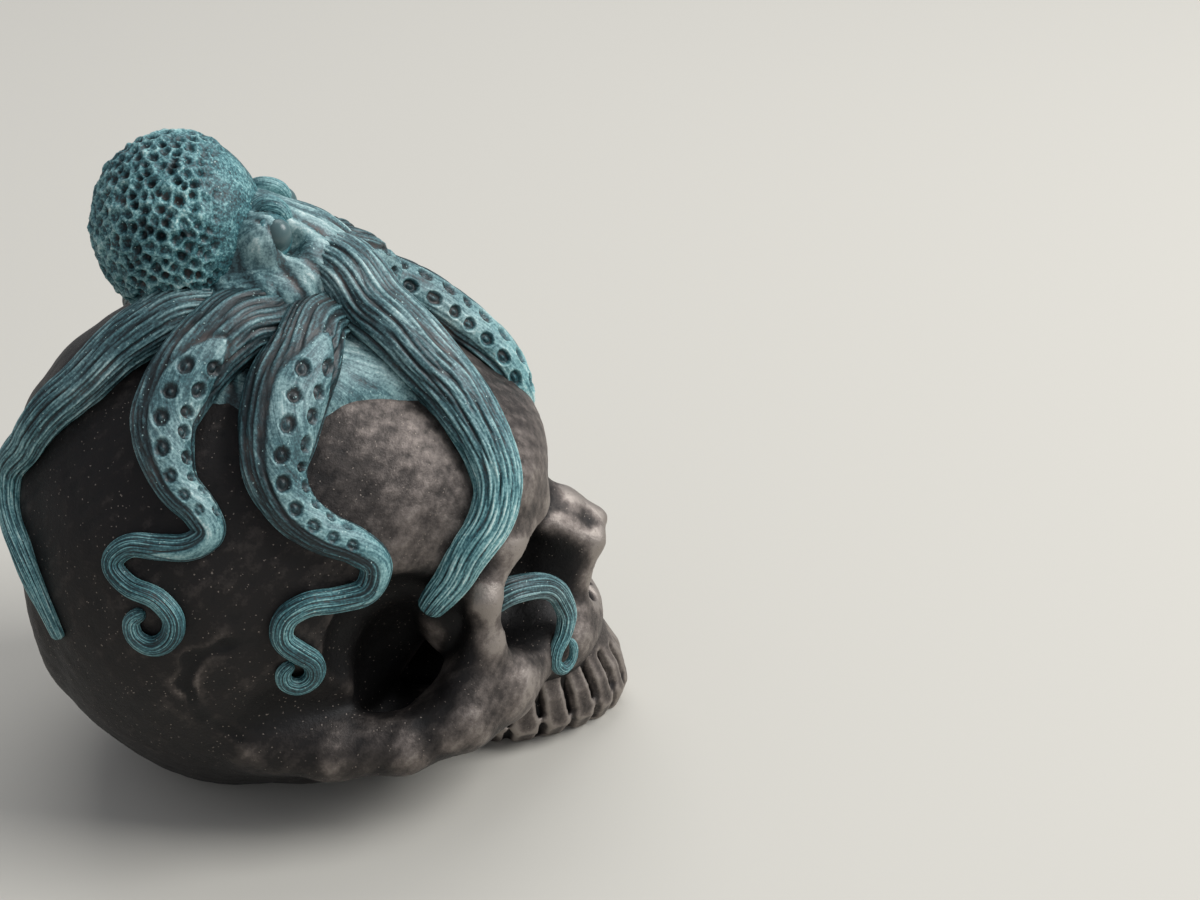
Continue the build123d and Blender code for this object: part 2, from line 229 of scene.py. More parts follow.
# %% [markdown]
# The slices become a block of distances: how fast an oval's reach grows from point to point turns
# that reach into millimetres. Both ends are cut off softly, where the slices would shrink to a tip.

# %% Clay of the braincase
FLATTEST_SLOPE = 1e-4


def braincase_distance(points, step):
    """Distance to the egg of oval slices on a regular block of points."""
    along = points[:, 0, 0, 0] / BRAINCASE_HALF[0]
    rise, half_height, half_width = (
        smooth_table(along, BRAINCASE_SLICES[:, 0], BRAINCASE_SLICES[:, column]) for column in (1, 2, 3)
    )
    high = (points[..., 2] - BRAINCASE_MIDDLE[2]) / BRAINCASE_HALF[2] - rise[:, None, None]
    wide = points[..., 1] / BRAINCASE_HALF[1]
    reach = np.hypot(high / half_height[:, None, None], wide / half_width[:, None, None])
    slope = np.sqrt(sum(part**2 for part in np.gradient(reach, step)))
    egg = (reach - 1) / np.maximum(slope, FLATTEST_SLOPE)
    ends = np.maximum(points[..., 0] - BRAINCASE_FRONT, BRAINCASE_BACK - points[..., 0])
    return -press(-egg, -ends, END_ROUNDING).astype(np.float32)


bone_step = 0.78
bone_low = np.array([-54.0, -46.0, -3.0])
bone_size = np.array([129.0, 92.0, 104.0])
block = point_block(bone_low, bone_size, bone_step)
half_block = block.copy()
half_block[..., 1] = np.abs(half_block[..., 1])
braincase = braincase_distance(block, bone_step)
print("clay block:", braincase.shape, "points")

# %% [markdown]
# The face starts with rolls of clay that follow the bony edges: brow, outer rim of the socket, cheek bone
# and arch, bridge and sides of the nose. A chain of tapering rolls is quick to place, because each stop is
# just a point and a radius.

# %% Bony edges
CHAIN_SOFT = 2.0


def chain(points, stops):
    """Rolls pressed end to end; each stop is a place and a radius."""
    whole = None
    for (start, start_radius), (end, end_radius) in zip(stops, stops[1:]):
        part = roll(points, start, end, start_radius, end_radius)
        whole = part if whole is None else press(whole, part, CHAIN_SOFT)
    return whole


# Hollows that later cells read too: middle and half sizes, or stops with radii.
TEMPLE_SLOPE = ((12, 46, 30), (22, 9, 11))
TEMPLE_HOLLOW = ((22, 39, 42.5), (15, 10, 15.5))
TEMPLE_PIT = ((23, 29.5, 31), (11, 8, 15))
PALATE = ((36, 0, -2), (24, 11, 13))
PALATE_SOFT = 2
SOCKET = [((52, 20.5, 41), 12.4), ((42, 17.5, 41.5), 11.4), ((27, 11, 43), 5.0)]
brow = chain(half_block, [
    ((46.5, 0, 53), 4.8), ((46, 12, 55.5), 4.6), ((40.5, 23, 53.5), 4.2), ((36.8, 29, 46), 2.8)])
outer_rim = chain(half_block, [((36.8, 29, 46), 2.8), ((36.8, 29.2, 37), 2.8), ((37, 28.4, 28), 4.4)])
cheek = chain(half_block, [((47, 16, 24.5), 4.4), ((39, 25.5, 24.5), 6.8), ((31, 32, 23), 6.0)])
cheek_plate = chain(half_block, [((36.6, 29, 37), 2.8), ((34, 30, 30), 4.6), ((37, 27.5, 25), 6.4)])
arch = chain(half_block, [
    ((31, 32, 23), 6.0), ((20, 36.4, 20.5), 5.0), ((7, 36.6, 21), 5.2), ((-6, 35, 24), 5.0)])
nose_bridge = chain(half_block, [((47, 0, 50), 4.6), ((55, 0, 46.8), 3.6), ((61.8, 0, 43.4), 2.3)])
nose_side = chain(half_block, [
    ((51, 5.0, 46.5), 3.4), ((60.0, 4.2, 41), 2.8), ((57.2, 5.4, 34), 2.6), ((54.4, 6.8, 28), 2.8),
    ((54.0, 10.5, 22.5), 4.0)])
print("bony edges: brow, outer rim, cheek, cheek plate, arch, bridge and side of the nose")

# %% [markdown]
# Softer masses are single lumps: upper jaw, forehead, gum, the walls of nose and sockets, and the
# floor below the temple. The mastoid, the bump behind the ear, is a short thick chain.

# %% Masses of the face
upper_jaw = lump(half_block, (47, 0, 22), (16, 18, 12))
upper_jaw = press(upper_jaw, lump(half_block, (40, 0, 32), (12, 24, 16)), soft=4)
temple_floor = lump(half_block, (20, 23, 14), (18, 10, 6))
forehead = lump(half_block, (40.8, 0, 63), (11, 22, 9.5))
nose_wall = lump(half_block, (52.3, 5, 38), (6.5, 4, 9))
socket_wall = lump(half_block, (31, 23, 41), (6.5, 4.5, 11))
gum = lump(half_block, (39, 0, 11), (24, 16, 11))
mastoid = chain(half_block, [((-4, 28, 23), 8.4), ((4, 24.5, 13), 6.6), ((9, 20, 6.2), 4.4)])
print("masses: upper jaw, temple floor, forehead, nose wall, socket wall, gum and mastoid")

# %% [markdown]
# Now the order counts. First the forms are pressed on, and the temples are scooped out. The thin
# edges and walls around them follow, some for the second time, because that scoop would eat them
# away. Sockets, nose opening and palate come last, so their rims stay crisp, and the foot is flat.

# %% Pressed and scooped skull
skull = braincase
forms = [(brow, 5), (upper_jaw, 5), (outer_rim, 3), (cheek, 5), (arch, 5), (gum, 4), (nose_side, 4)]
forms += [(forehead, 6), (nose_wall, 3), (nose_bridge, 3), (mastoid, 9), (temple_floor, 4)]
for part, soft in forms:
    skull = press(skull, part, soft)
for (middle, radii), soft in ((TEMPLE_SLOPE, 6), (TEMPLE_HOLLOW, 1.5), (TEMPLE_PIT, 4)):
    skull = scoop(skull, lump(half_block, middle, radii), soft)
for part, soft in ((outer_rim, 1.5), (arch, 4), (cheek, 4), (cheek_plate, 4), (socket_wall, 3)):
    skull = press(skull, part, soft)
skull = scoop(skull, chain(half_block, SOCKET), soft=1.4)
nose_hole = lump(half_block, (60.5, 2.6, 31.5), (8, 3.2, 5.6))
nose_hole = press(nose_hole, lump(half_block, (61, 1.0, 36.5), (8, 3.0, 5.2)), soft=1.5)
skull = scoop(skull, nose_hole, soft=1.0)
nose_spine = roll(half_block, (55, 0, 24.5), (59.6, 0, 25), start_radius=1.9, end_radius=0.6)
skull = press(skull, nose_spine, soft=3)
skull = scoop(skull, lump(half_block, *PALATE), PALATE_SOFT)
skull = np.maximum(skull, -block[..., 2]).astype(np.float32)
bone_verts, bone_faces = skin(skull, bone_low, bone_step)
print("skull skin:", len(bone_verts), "corners")

# %% [markdown]
# ## From clay to a mesh
# The block leaves faint steps on the skin. A few rounds of averaging melt them. How far each
# corner stands out of its neighbours, over two distances, is kept with the mesh, because paint
# wears off the ridges and stays in the hollows: the finish reads it later.

# %% Corners and their neighbours
BONE_ROUNDS = 3
FINE_ROUNDS = 4


def neighbour_mean(values, faces, count):
    """Mean of each corner's neighbours along the face edges."""
    total = np.zeros((count, values.shape[1]))
    number = np.zeros(count)
    for first, second in zip(faces.T, np.roll(faces, -1, axis=1).T):
        for a, b in ((first, second), (second, first)):
            for column in range(values.shape[1]):
                total[:, column] += np.bincount(a, values[b, column], count)
            number += np.bincount(a, minlength=count)
    return total / np.maximum(number, 1)[:, None]


def corner_normals(verts, faces):
    """Outward direction at each corner."""
    a, b, c, d = (verts[faces[:, k]] for k in range(4))
    face_normals = np.cross(c - a, d - b)
    normals = np.zeros_like(verts)
    for column in range(4):
        for part in range(3):
            normals[:, part] += np.bincount(faces[:, column], face_normals[:, part], len(verts))
    return normals / np.maximum(np.linalg.norm(normals, axis=1), TINY)[:, None]


def soften(verts, faces, rounds, share=0.5):
    """Melts the steps out of a skin."""
    for _ in range(rounds):
        verts = verts + share * (neighbour_mean(verts, faces, len(verts)) - verts)
    return verts


def stand_out(verts, faces, rounds):
    """How far each corner stands out of its smoothed neighbourhood, in millimetres."""
    normals = corner_normals(verts, faces)
    return ((verts - soften(verts, faces, rounds)) * normals).sum(axis=1)


def wear(verts, faces, fine_share, broad_share, broad_rounds):
    """How much paint is rubbed off: fine edges and broad forms that stand out, each by its share."""
    fine = stand_out(verts, faces, FINE_ROUNDS)
    return fine_share * fine + broad_share * stand_out(verts, faces, broad_rounds)


bone_verts = soften(bone_verts, bone_faces, BONE_ROUNDS)
bone_normals = corner_normals(bone_verts, bone_faces)
print("skull skin softened in", BONE_ROUNDS, "rounds")

# %% [markdown]
# Corners and faces become a Blender mesh in one go, which is far quicker than adding them one by
# one. What the paints need to know of each corner, such as its wear, goes along as an attribute.

# %% Meshes from corners and faces
def make_piece(name, verts, faces, **attributes):
    """A mesh object at the origin, with its place in the mesh and its attributes, one value per corner."""
    mesh = bpy.data.meshes.new(name)
    mesh.vertices.add(len(verts))
    mesh.vertices.foreach_set("co", (np.asarray(verts) * mm).ravel())
    mesh.loops.add(faces.size)
    mesh.loops.foreach_set("vertex_index", faces.ravel())
    mesh.polygons.add(len(faces))
    mesh.polygons.foreach_set("loop_start", np.arange(len(faces)) * faces.shape[1])
    mesh.polygons.foreach_set("use_smooth", np.ones(len(faces), dtype=bool))
    for label, values in attributes.items():
        values = np.asarray(values, dtype=np.float32)
        kind, field = ("FLOAT", "value") if values.ndim == 1 else ("FLOAT_VECTOR", "vector")
        mesh.attributes.new(label, kind, "POINT").data.foreach_set(field, values.ravel())
    mesh.update(calc_edges=True)
    mesh.validate()
    piece = bpy.data.objects.new(name, mesh)
    bpy.context.collection.objects.link(piece)
    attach(piece, "root")
    return piece


# %% [markdown]
# Nothing made by hand is quite even: modelling tools leave faint marks on the bone. A few crossing
# waves give soft bumps of about one size, the same on each run. A noise texture in a modifier
# could move the corners too, but the attributes of the corners could not follow it.

# %% Ripples
RIPPLE_WAVES = 7
RIPPLE_SPREAD = (0.7, 1.5)
# Size and depth of the tool marks.
TOOL_MARKS = ((14, 0.25), (5, 0.14), (2.2, 0.07))


def ripple(points, size, seed):
    """Soft bumps about the given size, from a few crossing waves with fixed directions."""
    picks = np.random.default_rng(seed)
    total = np.zeros(len(points))
    for _ in range(RIPPLE_WAVES):
        direction = picks.normal(size=3)
        direction *= 2 * np.pi / (size * picks.uniform(*RIPPLE_SPREAD) * np.linalg.norm(direction))
        total += np.sin(points @ direction + picks.uniform(0, 2 * np.pi))
    return total / RIPPLE_WAVES


tool_marks = 0
for seed, (size, depth) in enumerate(TOOL_MARKS):
    tool_marks = tool_marks + depth * ripple(bone_verts, size, seed + 1)
print("tool marks:", round(tool_marks.min(), 2), "to", round(tool_marks.max(), 2), "mm")

# %% [markdown]
# A braincase is a closed shell of plates, and the seam of the temple plate shows as a crooked crack. It is
# carved on both sides along a given line, together with the tool marks.

# %% Seam and tool marks
TEMPLE_SEAM = [
    (-4, 40.6, 50), (-10, 42, 49.7), (-16, 42.3, 47.3), (-17.7, 41.9, 42), (-15, 40, 34), (-9, 40.2, 27)]
SEAM_WIDTH = 0.9
SEAM_DEPTH = 0.7
SEAM_WANDER = 0.9
SEAM_WANDER_SIZE = 6
# The tool marks fade out just above the foot, so that it stays flat.
FOOT_FADE = 2


def bell(distance, width):
    """One at no distance, falling smoothly to nought over about two widths."""
    return np.exp(-((distance / width) ** 2))


half_verts = bone_verts * np.where(bone_verts[:, 1:2] < 0, (1, -1, 1), 1)
wander = np.stack([ripple(bone_verts, SEAM_WANDER_SIZE, seed) for seed in (4, 5, 6)], axis=-1)
seam_stops = [(stop, 0) for stop in TEMPLE_SEAM]
seam = bell(chain(half_verts + SEAM_WANDER * wander, seam_stops), SEAM_WIDTH)
above_foot = np.clip(bone_verts[:, 2] / FOOT_FADE, 0, 1)
bone_verts = bone_verts + bone_normals * (tool_marks * above_foot - SEAM_DEPTH * seam)[:, None]
print("seam cut up to", round(SEAM_DEPTH * seam.max(), 2), "mm deep")

# %% [markdown]
# The dry brush hit the face and the forehead hardest and hardly reached into the seam, so the wear follows
# what stands out. On top of that the bone is lighter toward the front and the top, partly dry brush and
# partly painted light on the side the lamp falls on, and darker in the temples, the eye sockets and low on
# the sides, partly where the brush did not reach and partly painted shade.

# %% Skull mesh
HOLLOW_RIM = 2
# Painted shade in the temples and eye sockets, partly where the dry brush did not reach.
HOLLOW_SHADE_AND_UNBRUSHED = 0.5
SEAM_PAINT = 0.4
# Painted shade low on the sides, partly less dry brush there.
LOW_SIDE_SHADE_AND_UNBRUSHED = 0.16
# How much lighter the dry brush and the painted light leave the bone, by place along the skull from back to
# front.
BRUSH_AND_LIGHT_LENGTHS = [-8, 4, 22]
BRUSH_AND_LIGHT_AMOUNTS = [-0.05, 0, 0.3]
# Shares of that by height, and where the low side with its painted shade ends, upward and toward the front.
BRUSH_AND_LIGHT_HEIGHTS = [17, 29]
BRUSH_AND_LIGHT_SHARES = [0.3, 1]
LOW_SIDE_HEIGHTS = [15, 27]
LOW_SIDE_LENGTHS = [32, 42]
# Where the temples and eye sockets get their painted shade.
hollow_shade_mask = bell(chain(half_verts, SOCKET), HOLLOW_RIM)
for middle, radii in (TEMPLE_HOLLOW, TEMPLE_PIT):
    hollow_shade_mask = np.maximum(hollow_shade_mask, bell(lump(half_verts, middle, radii), HOLLOW_RIM))
along = bone_verts[:, 0]
height = bone_verts[:, 2]
# Lighter toward the front and the top and darker low on the sides: partly dry brush, partly painted light
# and painted shade.
brushed = np.interp(along, BRUSH_AND_LIGHT_LENGTHS, BRUSH_AND_LIGHT_AMOUNTS)
brushed = brushed * np.interp(height, BRUSH_AND_LIGHT_HEIGHTS, BRUSH_AND_LIGHT_SHARES)
low_side = np.interp(height, LOW_SIDE_HEIGHTS, [1, 0]) * np.interp(along, LOW_SIDE_LENGTHS, [1, 0])
brushed = brushed - LOW_SIDE_SHADE_AND_UNBRUSHED * low_side
bone_worn = wear(bone_verts, bone_faces, fine_share=2.2, broad_share=0.9, broad_rounds=24)
# The wear with the painted light and the painted shade of the bone added; the seam is a dark joint.
bone_worn = bone_worn + brushed - HOLLOW_SHADE_AND_UNBRUSHED * hollow_shade_mask - SEAM_PAINT * seam
skull_skin = make_piece("skull", bone_verts, bone_faces, worn=bone_worn)
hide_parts("cranium", "face", "nasal_bones", "cheek_arch_right", "cheek_arch_left",
            "mastoid_right", "mastoid_left")
print("skull:", len(bone_faces) * 2, "triangles")

# %% [markdown]
# ## Routes of the arms
# Eight arms leave the head and cling to the bone. The web of skin between them has to know where they run,
# so the routes come before the head. The stops are given one by one: on the right side to follow the
# photograph, and in the same manner on the far side.

# %% Arm routes
# Each arm: bearing of its root round the head and how far the root lies above the head's middle,
# then its stops on the braincase as longitude and latitude from the braincase's middle
# (0 is forward, minus is the skull's right) and the arm's radius.
HEAD_MIDDLE = np.array([6.0, 4.0, 101.5])
ARMS = {
    "arm_rear_right": (222, -4, [
        (-150, 70, 5.6), (-154, 61, 5.0), (-155, 53, 4.6), (-158, 45, 4.3), (-161, 36, 3.8), (-164, 28, 3.2),
        (-161, 22, 2.7), (-153, 17, 2.3), (-147, 10, 1.9), (-143, 5, 1.6), (-141, 1, 1.3)]),
    "arm_side_right": (256, -5, [
        (-113, 73, 7.0), (-121, 65, 6.6), (-123, 58, 6.2), (-123, 52, 5.6), (-120, 47, 4.8), (-115, 41, 3.7),
        (-108, 36, 3.0), (-106, 32, 2.7), (-110, 29, 2.4), (-117, 28, 2.2), (-124, 27, 2.0), (-127, 23, 1.9),
        (-123, 19, 1.9), (-117, 17, 1.9), (-113.5, 12.5, 1.9), (-114.5, 8, 1.9), (-118, 5.8, 1.8),
        (-121.8, 8, 1.6), (-122, 11.8, 1.4), (-119.4, 13.4, 1.1)]),
    "arm_temple_right": (300, -6, [
        (-56, 72, 6.0), (-69, 67, 6.8), (-80, 61, 7.4), (-86, 53, 6.8), (-88, 45, 5.4), (-84, 37, 4.3),
        (-77, 31, 3.7), (-69, 26, 3.2), (-65, 21, 2.8), (-68, 15, 2.5), (-75, 14, 2.3), (-84, 14, 2.2),
        (-89, 11, 2.1), (-90, 6, 2.0), (-86.5, 1.5, 2.0), (-83, -2.5, 1.9), (-83.2, -7, 1.8),
        (-86.8, -9.3, 1.7), (-90.2, -7.2, 1.5), (-90.2, -3.6, 1.3), (-87.6, -2, 1.0)]),
    "arm_brow_right": (326, 1, [
        (-18, 66, 7.4), (-24, 54, 6.8), (-27, 42, 6.0), (-30, 33, 5.3), (-33, 26, 4.7), (-37, 21, 4.3),
        (-43, 16, 3.9), (-47, 11, 3.6), (-51, 6.5, 3.0), (-53, 3.5, 2.4)]),
    "arm_forehead": (10, 0, [
        (26, 61, 6.2), (22, 53, 6.3), (20, 45, 6.2), (17, 38, 5.8), (14, 31, 5.2), (12, 25, 4.4),
        (14, 19, 3.4), (20, 14, 2.6), (27, 11, 1.6)]),
    "arm_brow_left": (48, 0, [
        (50, 63, 6.0), (46, 52, 5.4), (40, 42, 4.8), (36, 33, 4.2), (38, 25, 3.6), (45, 18, 3.1),
        (52, 12, 2.6), (53, 5, 2.1), (48, 1, 1.4)]),
    "arm_temple_left": (92, -2, [
        (72, 66, 6.8), (83, 58, 6.4), (88, 49, 5.6), (86, 41, 4.5), (79, 34, 3.7), (71, 28, 3.2),
        (67, 21, 2.7), (70, 15, 2.4), (79, 14, 2.2), (87, 11, 2.0), (88, 5, 1.7), (83, 3, 1.3)]),
    "arm_rear_left": (138, -5, [
        (125, 70, 6.0), (130, 60, 5.6), (132, 51, 5.0), (128, 43, 4.2), (120, 37, 3.4), (114, 31, 2.8),
        (118, 25, 2.4), (125, 22, 2.1), (127, 16, 1.8), (121, 12, 1.5), (116, 14, 1.2)]),
}
print("arms:", len(ARMS), "with", sum(len(stops) for _, _, stops in ARMS.values()), "stops")

# %% [markdown]
# A stop is only a direction from the middle of the braincase. A line in that direction is followed
# until it leaves the bone, and there the arm gets its seat, with its back turned straight out of
# the surface. Shrinkwrap would do the same for a mesh, but here it is the clay that is asked.

# %% Seats on the bone
# Distances from the braincase's middle at which the bone is looked for.
SEARCH_STEP = 0.5
SEARCH_REACH = np.arange(24, 64, SEARCH_STEP)


def read_block(field, points):
    """Distance at any point, from the eight block points around it."""
    place = (points - bone_low) / bone_step
    corner = np.clip(np.floor(place).astype(int), 0, np.array(field.shape) - 2)
    share = np.clip(place - corner, 0, 1)
    value = 0
    for x in (0, 1):
        for y in (0, 1):
            for z in (0, 1):
                weight = np.prod(np.where((x, y, z), share, 1 - share), axis=-1)
                value = value + weight * field[corner[..., 0] + x, corner[..., 1] + y, corner[..., 2] + z]
    return value


def unit(ways):
    """The same directions, each with a length of one."""
    return ways / np.linalg.norm(ways, axis=-1, keepdims=True)


def seat_on_bone(ways):
    """Where lines from the braincase's middle leave the bone, and the way out of the surface there."""
    depth = read_block(braincase, BRAINCASE_MIDDLE + ways[:, None] * SEARCH_REACH[None, :, None])
    last = len(SEARCH_REACH) - 1 - np.argmax(depth[:, ::-1] < 0, axis=1)
    row = np.arange(len(ways))
    share = depth[row, last] / (depth[row, last] - depth[row, last + 1])
    seats = BRAINCASE_MIDDLE + ways * (SEARCH_REACH[last] + SEARCH_STEP * share)[:, None]
    slope = []
    for nudge in np.eye(3):
        slope.append(read_block(braincase, seats + nudge) - read_block(braincase, seats - nudge))
    return seats, unit(np.stack(slope, axis=-1))


print("bone looked for from", SEARCH_REACH[0], "to", SEARCH_REACH[-1], "mm from the middle")

# %% [markdown]
# A smooth curve through the seats is the middle line of an arm. It is read at even steps, so that
# the rings of the arm lie evenly, and it starts inside the head, from where the arm grows out.

# %% Middle lines of the arms
ARM_STEP = 0.34
ARM_LIFT = 0.42
WAY_STEP = 0.03
CALM_POINTS = 9
# Near its root an arm lies higher, on the web: extra lift in millimetres, and over how many seats.
ROOT_LIFT = 1.6
ROOT_LIFT_SEATS = 10
# Two stops inside the head: reach from its middle, rise above the root, share of the first radius,
# and how far the back leans outward.
ROOT_STOPS = ((4, 1.5, 0.72, 0.4), (11, -0.5, 0.92, 0.6))


def run_along(points):
    """Length of a line of points from its start to each of them."""
    return np.concatenate([[0], np.cumsum(np.linalg.norm(np.diff(points, axis=0), axis=1))])


def even_way(stops, spacing, *values):
    """A smooth curve through the stops, read at even steps, with other values carried along."""
    stops = np.asarray(stops, dtype=float)
    for _ in range(2):
        run = run_along(stops)
        fine = np.linspace(0, run[-1], max(int(run[-1] / spacing), 2) + 1)
        tables = [np.asarray(table, dtype=float).reshape(len(run), -1) for table in (stops, *values)]
        stops, *values = (
            np.stack([smooth_table(fine, run, column) for column in table.T], axis=-1) for table in tables
        )
    return stops, *values


def calmed(values):
    """A run of values with its small wiggles averaged out; both ends keep their place."""
    window = np.hanning(CALM_POINTS)[1:-1] / np.hanning(CALM_POINTS).sum()
    edge = len(window) // 2
    start = 2 * values[0] - values[edge:0:-1]
    end = 2 * values[-1] - values[-2:-2 - edge:-1]
    return np.convolve(np.concatenate([start, values, end]), window, mode="valid")


def arm_centre_line(name):
    """Middle line of an arm, its radius and its outward side, at even steps from root to tip."""
    root_bearing, root_rise, stops = ARMS[name]
    longitude, latitude, radii = np.array(stops, dtype=float).T
    around, up = np.radians(longitude), np.radians(latitude)
    ways = np.stack([np.cos(around) * np.cos(up), np.sin(around) * np.cos(up), np.sin(up)], axis=-1)
    ways, radii = even_way(ways, WAY_STEP, radii)
    seats, outward = seat_on_bone(unit(ways))
    radii = radii[:, 0]
    turn = math.radians(root_bearing)
    away = np.array([math.cos(turn), math.sin(turn), 0])
    lifts = ARM_LIFT * radii + np.interp(np.arange(len(radii)), [0, ROOT_LIFT_SEATS], [ROOT_LIFT, 0])
    roots = [away * reach + (0, 0, root_rise + rise) + HEAD_MIDDLE for reach, rise, _, _ in ROOT_STOPS]
    middles = np.concatenate([roots, seats + outward * lifts[:, None]])
    radii = np.concatenate([[share * radii[0] for _, _, share, _ in ROOT_STOPS], radii])
    outward = np.concatenate([[away * lean + (0, 0, 1) for _, _, _, lean in ROOT_STOPS], outward])
    middles, radii, outward = even_way(middles, ARM_STEP, radii, outward)
    calm = np.array([calmed(column) for column in np.column_stack([middles, outward]).T]).T
    return calm[:, :3], radii[:, 0], calm[:, 3:]


arm_lines = {name: arm_centre_line(name) for name in ARMS}
print("arm lengths in mm:", {name: round(len(line[0]) * ARM_STEP) for name, line in arm_lines.items()})

# %% [markdown]
# ## Head and web of the octopus
# The head is a low mound on the crown. It runs out into a web of skin that clings to the bone
# between the arms and ends in a hollow curve from arm to arm. It is clay too: for the web, the
# braincase itself is swollen a little and cut off at a scalloped edge.

# %% Web between the arms
# Half the gap that the web spans between each arm and the next one round the head, in millimetres.
WEB_SPANS = [8, 11, 15, 13, 12, 12, 12, 9]
WEB_HEIGHT = 5.0
WEB_EDGE = 5
# Beyond its edge the web's clay lies this deep in the bone, out of sight.
WEB_SUNK = 2.5
WEB_REACH = 44
WEB_FADE = 12
# How far the skin close to the head stands off the bone, by distance from the head's middle.
CAPE_REACHES = [0, 14, 20, 26]
CAPE_SWELLS = [6.5, 4.8, 2.4, -WEB_SUNK]
# Only the stretch of each arm near the head counts, and every eighth point of it is enough.
NEAR_HEAD = 50
ARM_THINNING = 8
FAR_AWAY = 99.0
head_step = 0.7
head_low = np.array([-36.0, -38.0, 58.0])
head_size = np.array([82.0, 84.0, 64.0])
head_block = point_block(head_low, head_size, head_step)
reach_out = np.linalg.norm(head_block - HEAD_MIDDLE.astype(np.float32), axis=-1)
to_arm = []
for middles, *_ in arm_lines.values():
    thinned = middles[::ARM_THINNING]
    nearest = np.full(head_block.shape[:3], FAR_AWAY, dtype=np.float32)
    for middle in thinned[np.linalg.norm(thinned - HEAD_MIDDLE, axis=1) < NEAR_HEAD].astype(np.float32):
        nearest = np.minimum(nearest, np.linalg.norm(head_block - middle, axis=-1))
    to_arm.append(nearest)
web_swell = np.interp(reach_out, CAPE_REACHES, CAPE_SWELLS)
fade = np.clip((WEB_REACH - reach_out) / WEB_FADE, 0, 1)
for number, span in enumerate(WEB_SPANS):
    gap = np.sqrt(to_arm[number] * to_arm[(number + 1) % len(to_arm)])
    rise = np.sqrt(np.clip((span - gap) / WEB_EDGE, 0, 1))
    web_swell = np.maximum(web_swell, WEB_HEIGHT * rise * fade - WEB_SUNK)
web = read_block(braincase, head_block).astype(np.float32) - web_swell
print("web: block of", web.shape, "points")

# %% [markdown]
# The head itself is a mound, a thick nape that carries the mantle, and a fold of skin that hangs
# over the right side like a hood. Each eye gets a raised lid and a hollow to sit in.

# %% Head clay
HEAD_ROUNDS = 4
LID_SHIFT = (-1.5, 0, -0.8)
LID_RADII = (4.4, 3.6, 4.4)
EYE_HOLLOW_SHIFT = (2.6, 0, -0.6)
EYE_HOLLOW_RADII = (2.8, 3.2, 3.4)
EYE_PLACES = {"right": np.array([3.6, -5.2, 110.4]), "left": np.array([4.6, 13.2, 108.2])}
head_mound = lump(head_block, (5, 4, 100.5), (14, 13, 9.5))
nape = roll(head_block, (-9, 4, 106.5), (6, 4, 102), start_radius=11.8, end_radius=8.2)
head_clay = press(press(web, head_mound, soft=5), nape, soft=4)
hood = chain(head_block, [
    ((-6, -8, 100.5), 3.2), ((0.8, -8.4, 101.4), 3.0), ((6, -8.2, 100), 2.8), ((10, -8.6, 95), 2.8),
    ((10.6, -12.5, 90), 2.4)])
head_clay = press(head_clay, hood, soft=1.5)
for place in EYE_PLACES.values():
    head_clay = press(head_clay, lump(head_block, place + LID_SHIFT, LID_RADII), soft=2.5)
    head_clay = scoop(head_clay, lump(head_block, place + EYE_HOLLOW_SHIFT, EYE_HOLLOW_RADII), soft=1.0)
head_verts, head_faces = skin(head_clay.astype(np.float32), head_low, head_step)
head_verts = soften(head_verts, head_faces, HEAD_ROUNDS)
print("head and web skin:", len(head_verts), "corners")

# %% [markdown]
# Strands of loose skin fan out from the neck like the folds of a draped cloth. They are drawn
# into the clay with a wavy comb, deeper away from the smooth crown of the head.

# %% Strands on the head and web
# Seen from above, the strands fan out from this point at the neck.
NECK = np.array([-14.0, 4.0])
# Number of folds round the neck, share of the height and seed of the wander.
STRAND_SETS = ((15, 0.5, 11), (27, 0.3, 12), (43, 0.2, 14))
STRAND_LEVEL = 0.75
STRAND_ROUNDNESS = 0.6
STRAND_WANDER = 2.4
STRAND_WANDER_SIZE = 18
# Depth of the strands by reach from the head's middle, in millimetres.
STRAND_REACHES = [3, 8, 20, 30]
STRAND_DEPTHS = [0.7, 1.2, 1.2, 0.3]
# Between the temple arm and the brow arm on the right the web is a smooth sheet: bearing of its middle
# and half its spread in degrees, where it starts and over how far, and how much it smooths.
SHEET_BEARING = -65
SHEET_SPREAD = 24
SHEET_START = 13
SHEET_FADE = 6
SHEET_SMOOTHING = 0.85
# Tone of the skin between the darkest and the brightest paint, and what the strands add to it.
SKIN_TONE = 0.56
HEAD_STRAND_TONE = 0.95
# The brush marks of the paint are this many times longer than wide.
BRUSH_STRETCH = 10
SHORTEST_NECK_REACH = 8
head_normals = corner_normals(head_verts, head_faces)
to_corner = head_verts - HEAD_MIDDLE
head_bearing = np.arctan2(to_corner[:, 1], to_corner[:, 0])
head_reach = np.linalg.norm(to_corner[:, :2], axis=1)
from_neck = head_verts[:, :2] - NECK
neck_bearing = np.arctan2(from_neck[:, 1], from_neck[:, 0])
neck_reach = np.linalg.norm(from_neck, axis=1)
strand = -STRAND_LEVEL
for folds, share, seed in STRAND_SETS:
    wander = STRAND_WANDER * ripple(head_verts, STRAND_WANDER_SIZE, seed)
    strand = strand + share * np.abs(np.sin(folds * neck_bearing + wander)) ** STRAND_ROUNDNESS
strand_depth = np.interp(head_reach, STRAND_REACHES, STRAND_DEPTHS)
loose = np.interp(to_corner[:, 0], [-12, -4], [0.2, 1])
loose = np.maximum(loose, np.interp(head_reach, [13, 19], [0, 1]))
sheet_turn = (np.degrees(head_bearing) - SHEET_BEARING) / SHEET_SPREAD
sheet = np.exp(-(sheet_turn**4)) * np.clip((head_reach - SHEET_START) / SHEET_FADE, 0, 1)
loose = loose * (1 - SHEET_SMOOTHING * sheet)
strand_depth = strand_depth * loose
head_verts = head_verts + head_normals * (strand_depth * strand)[:, None]
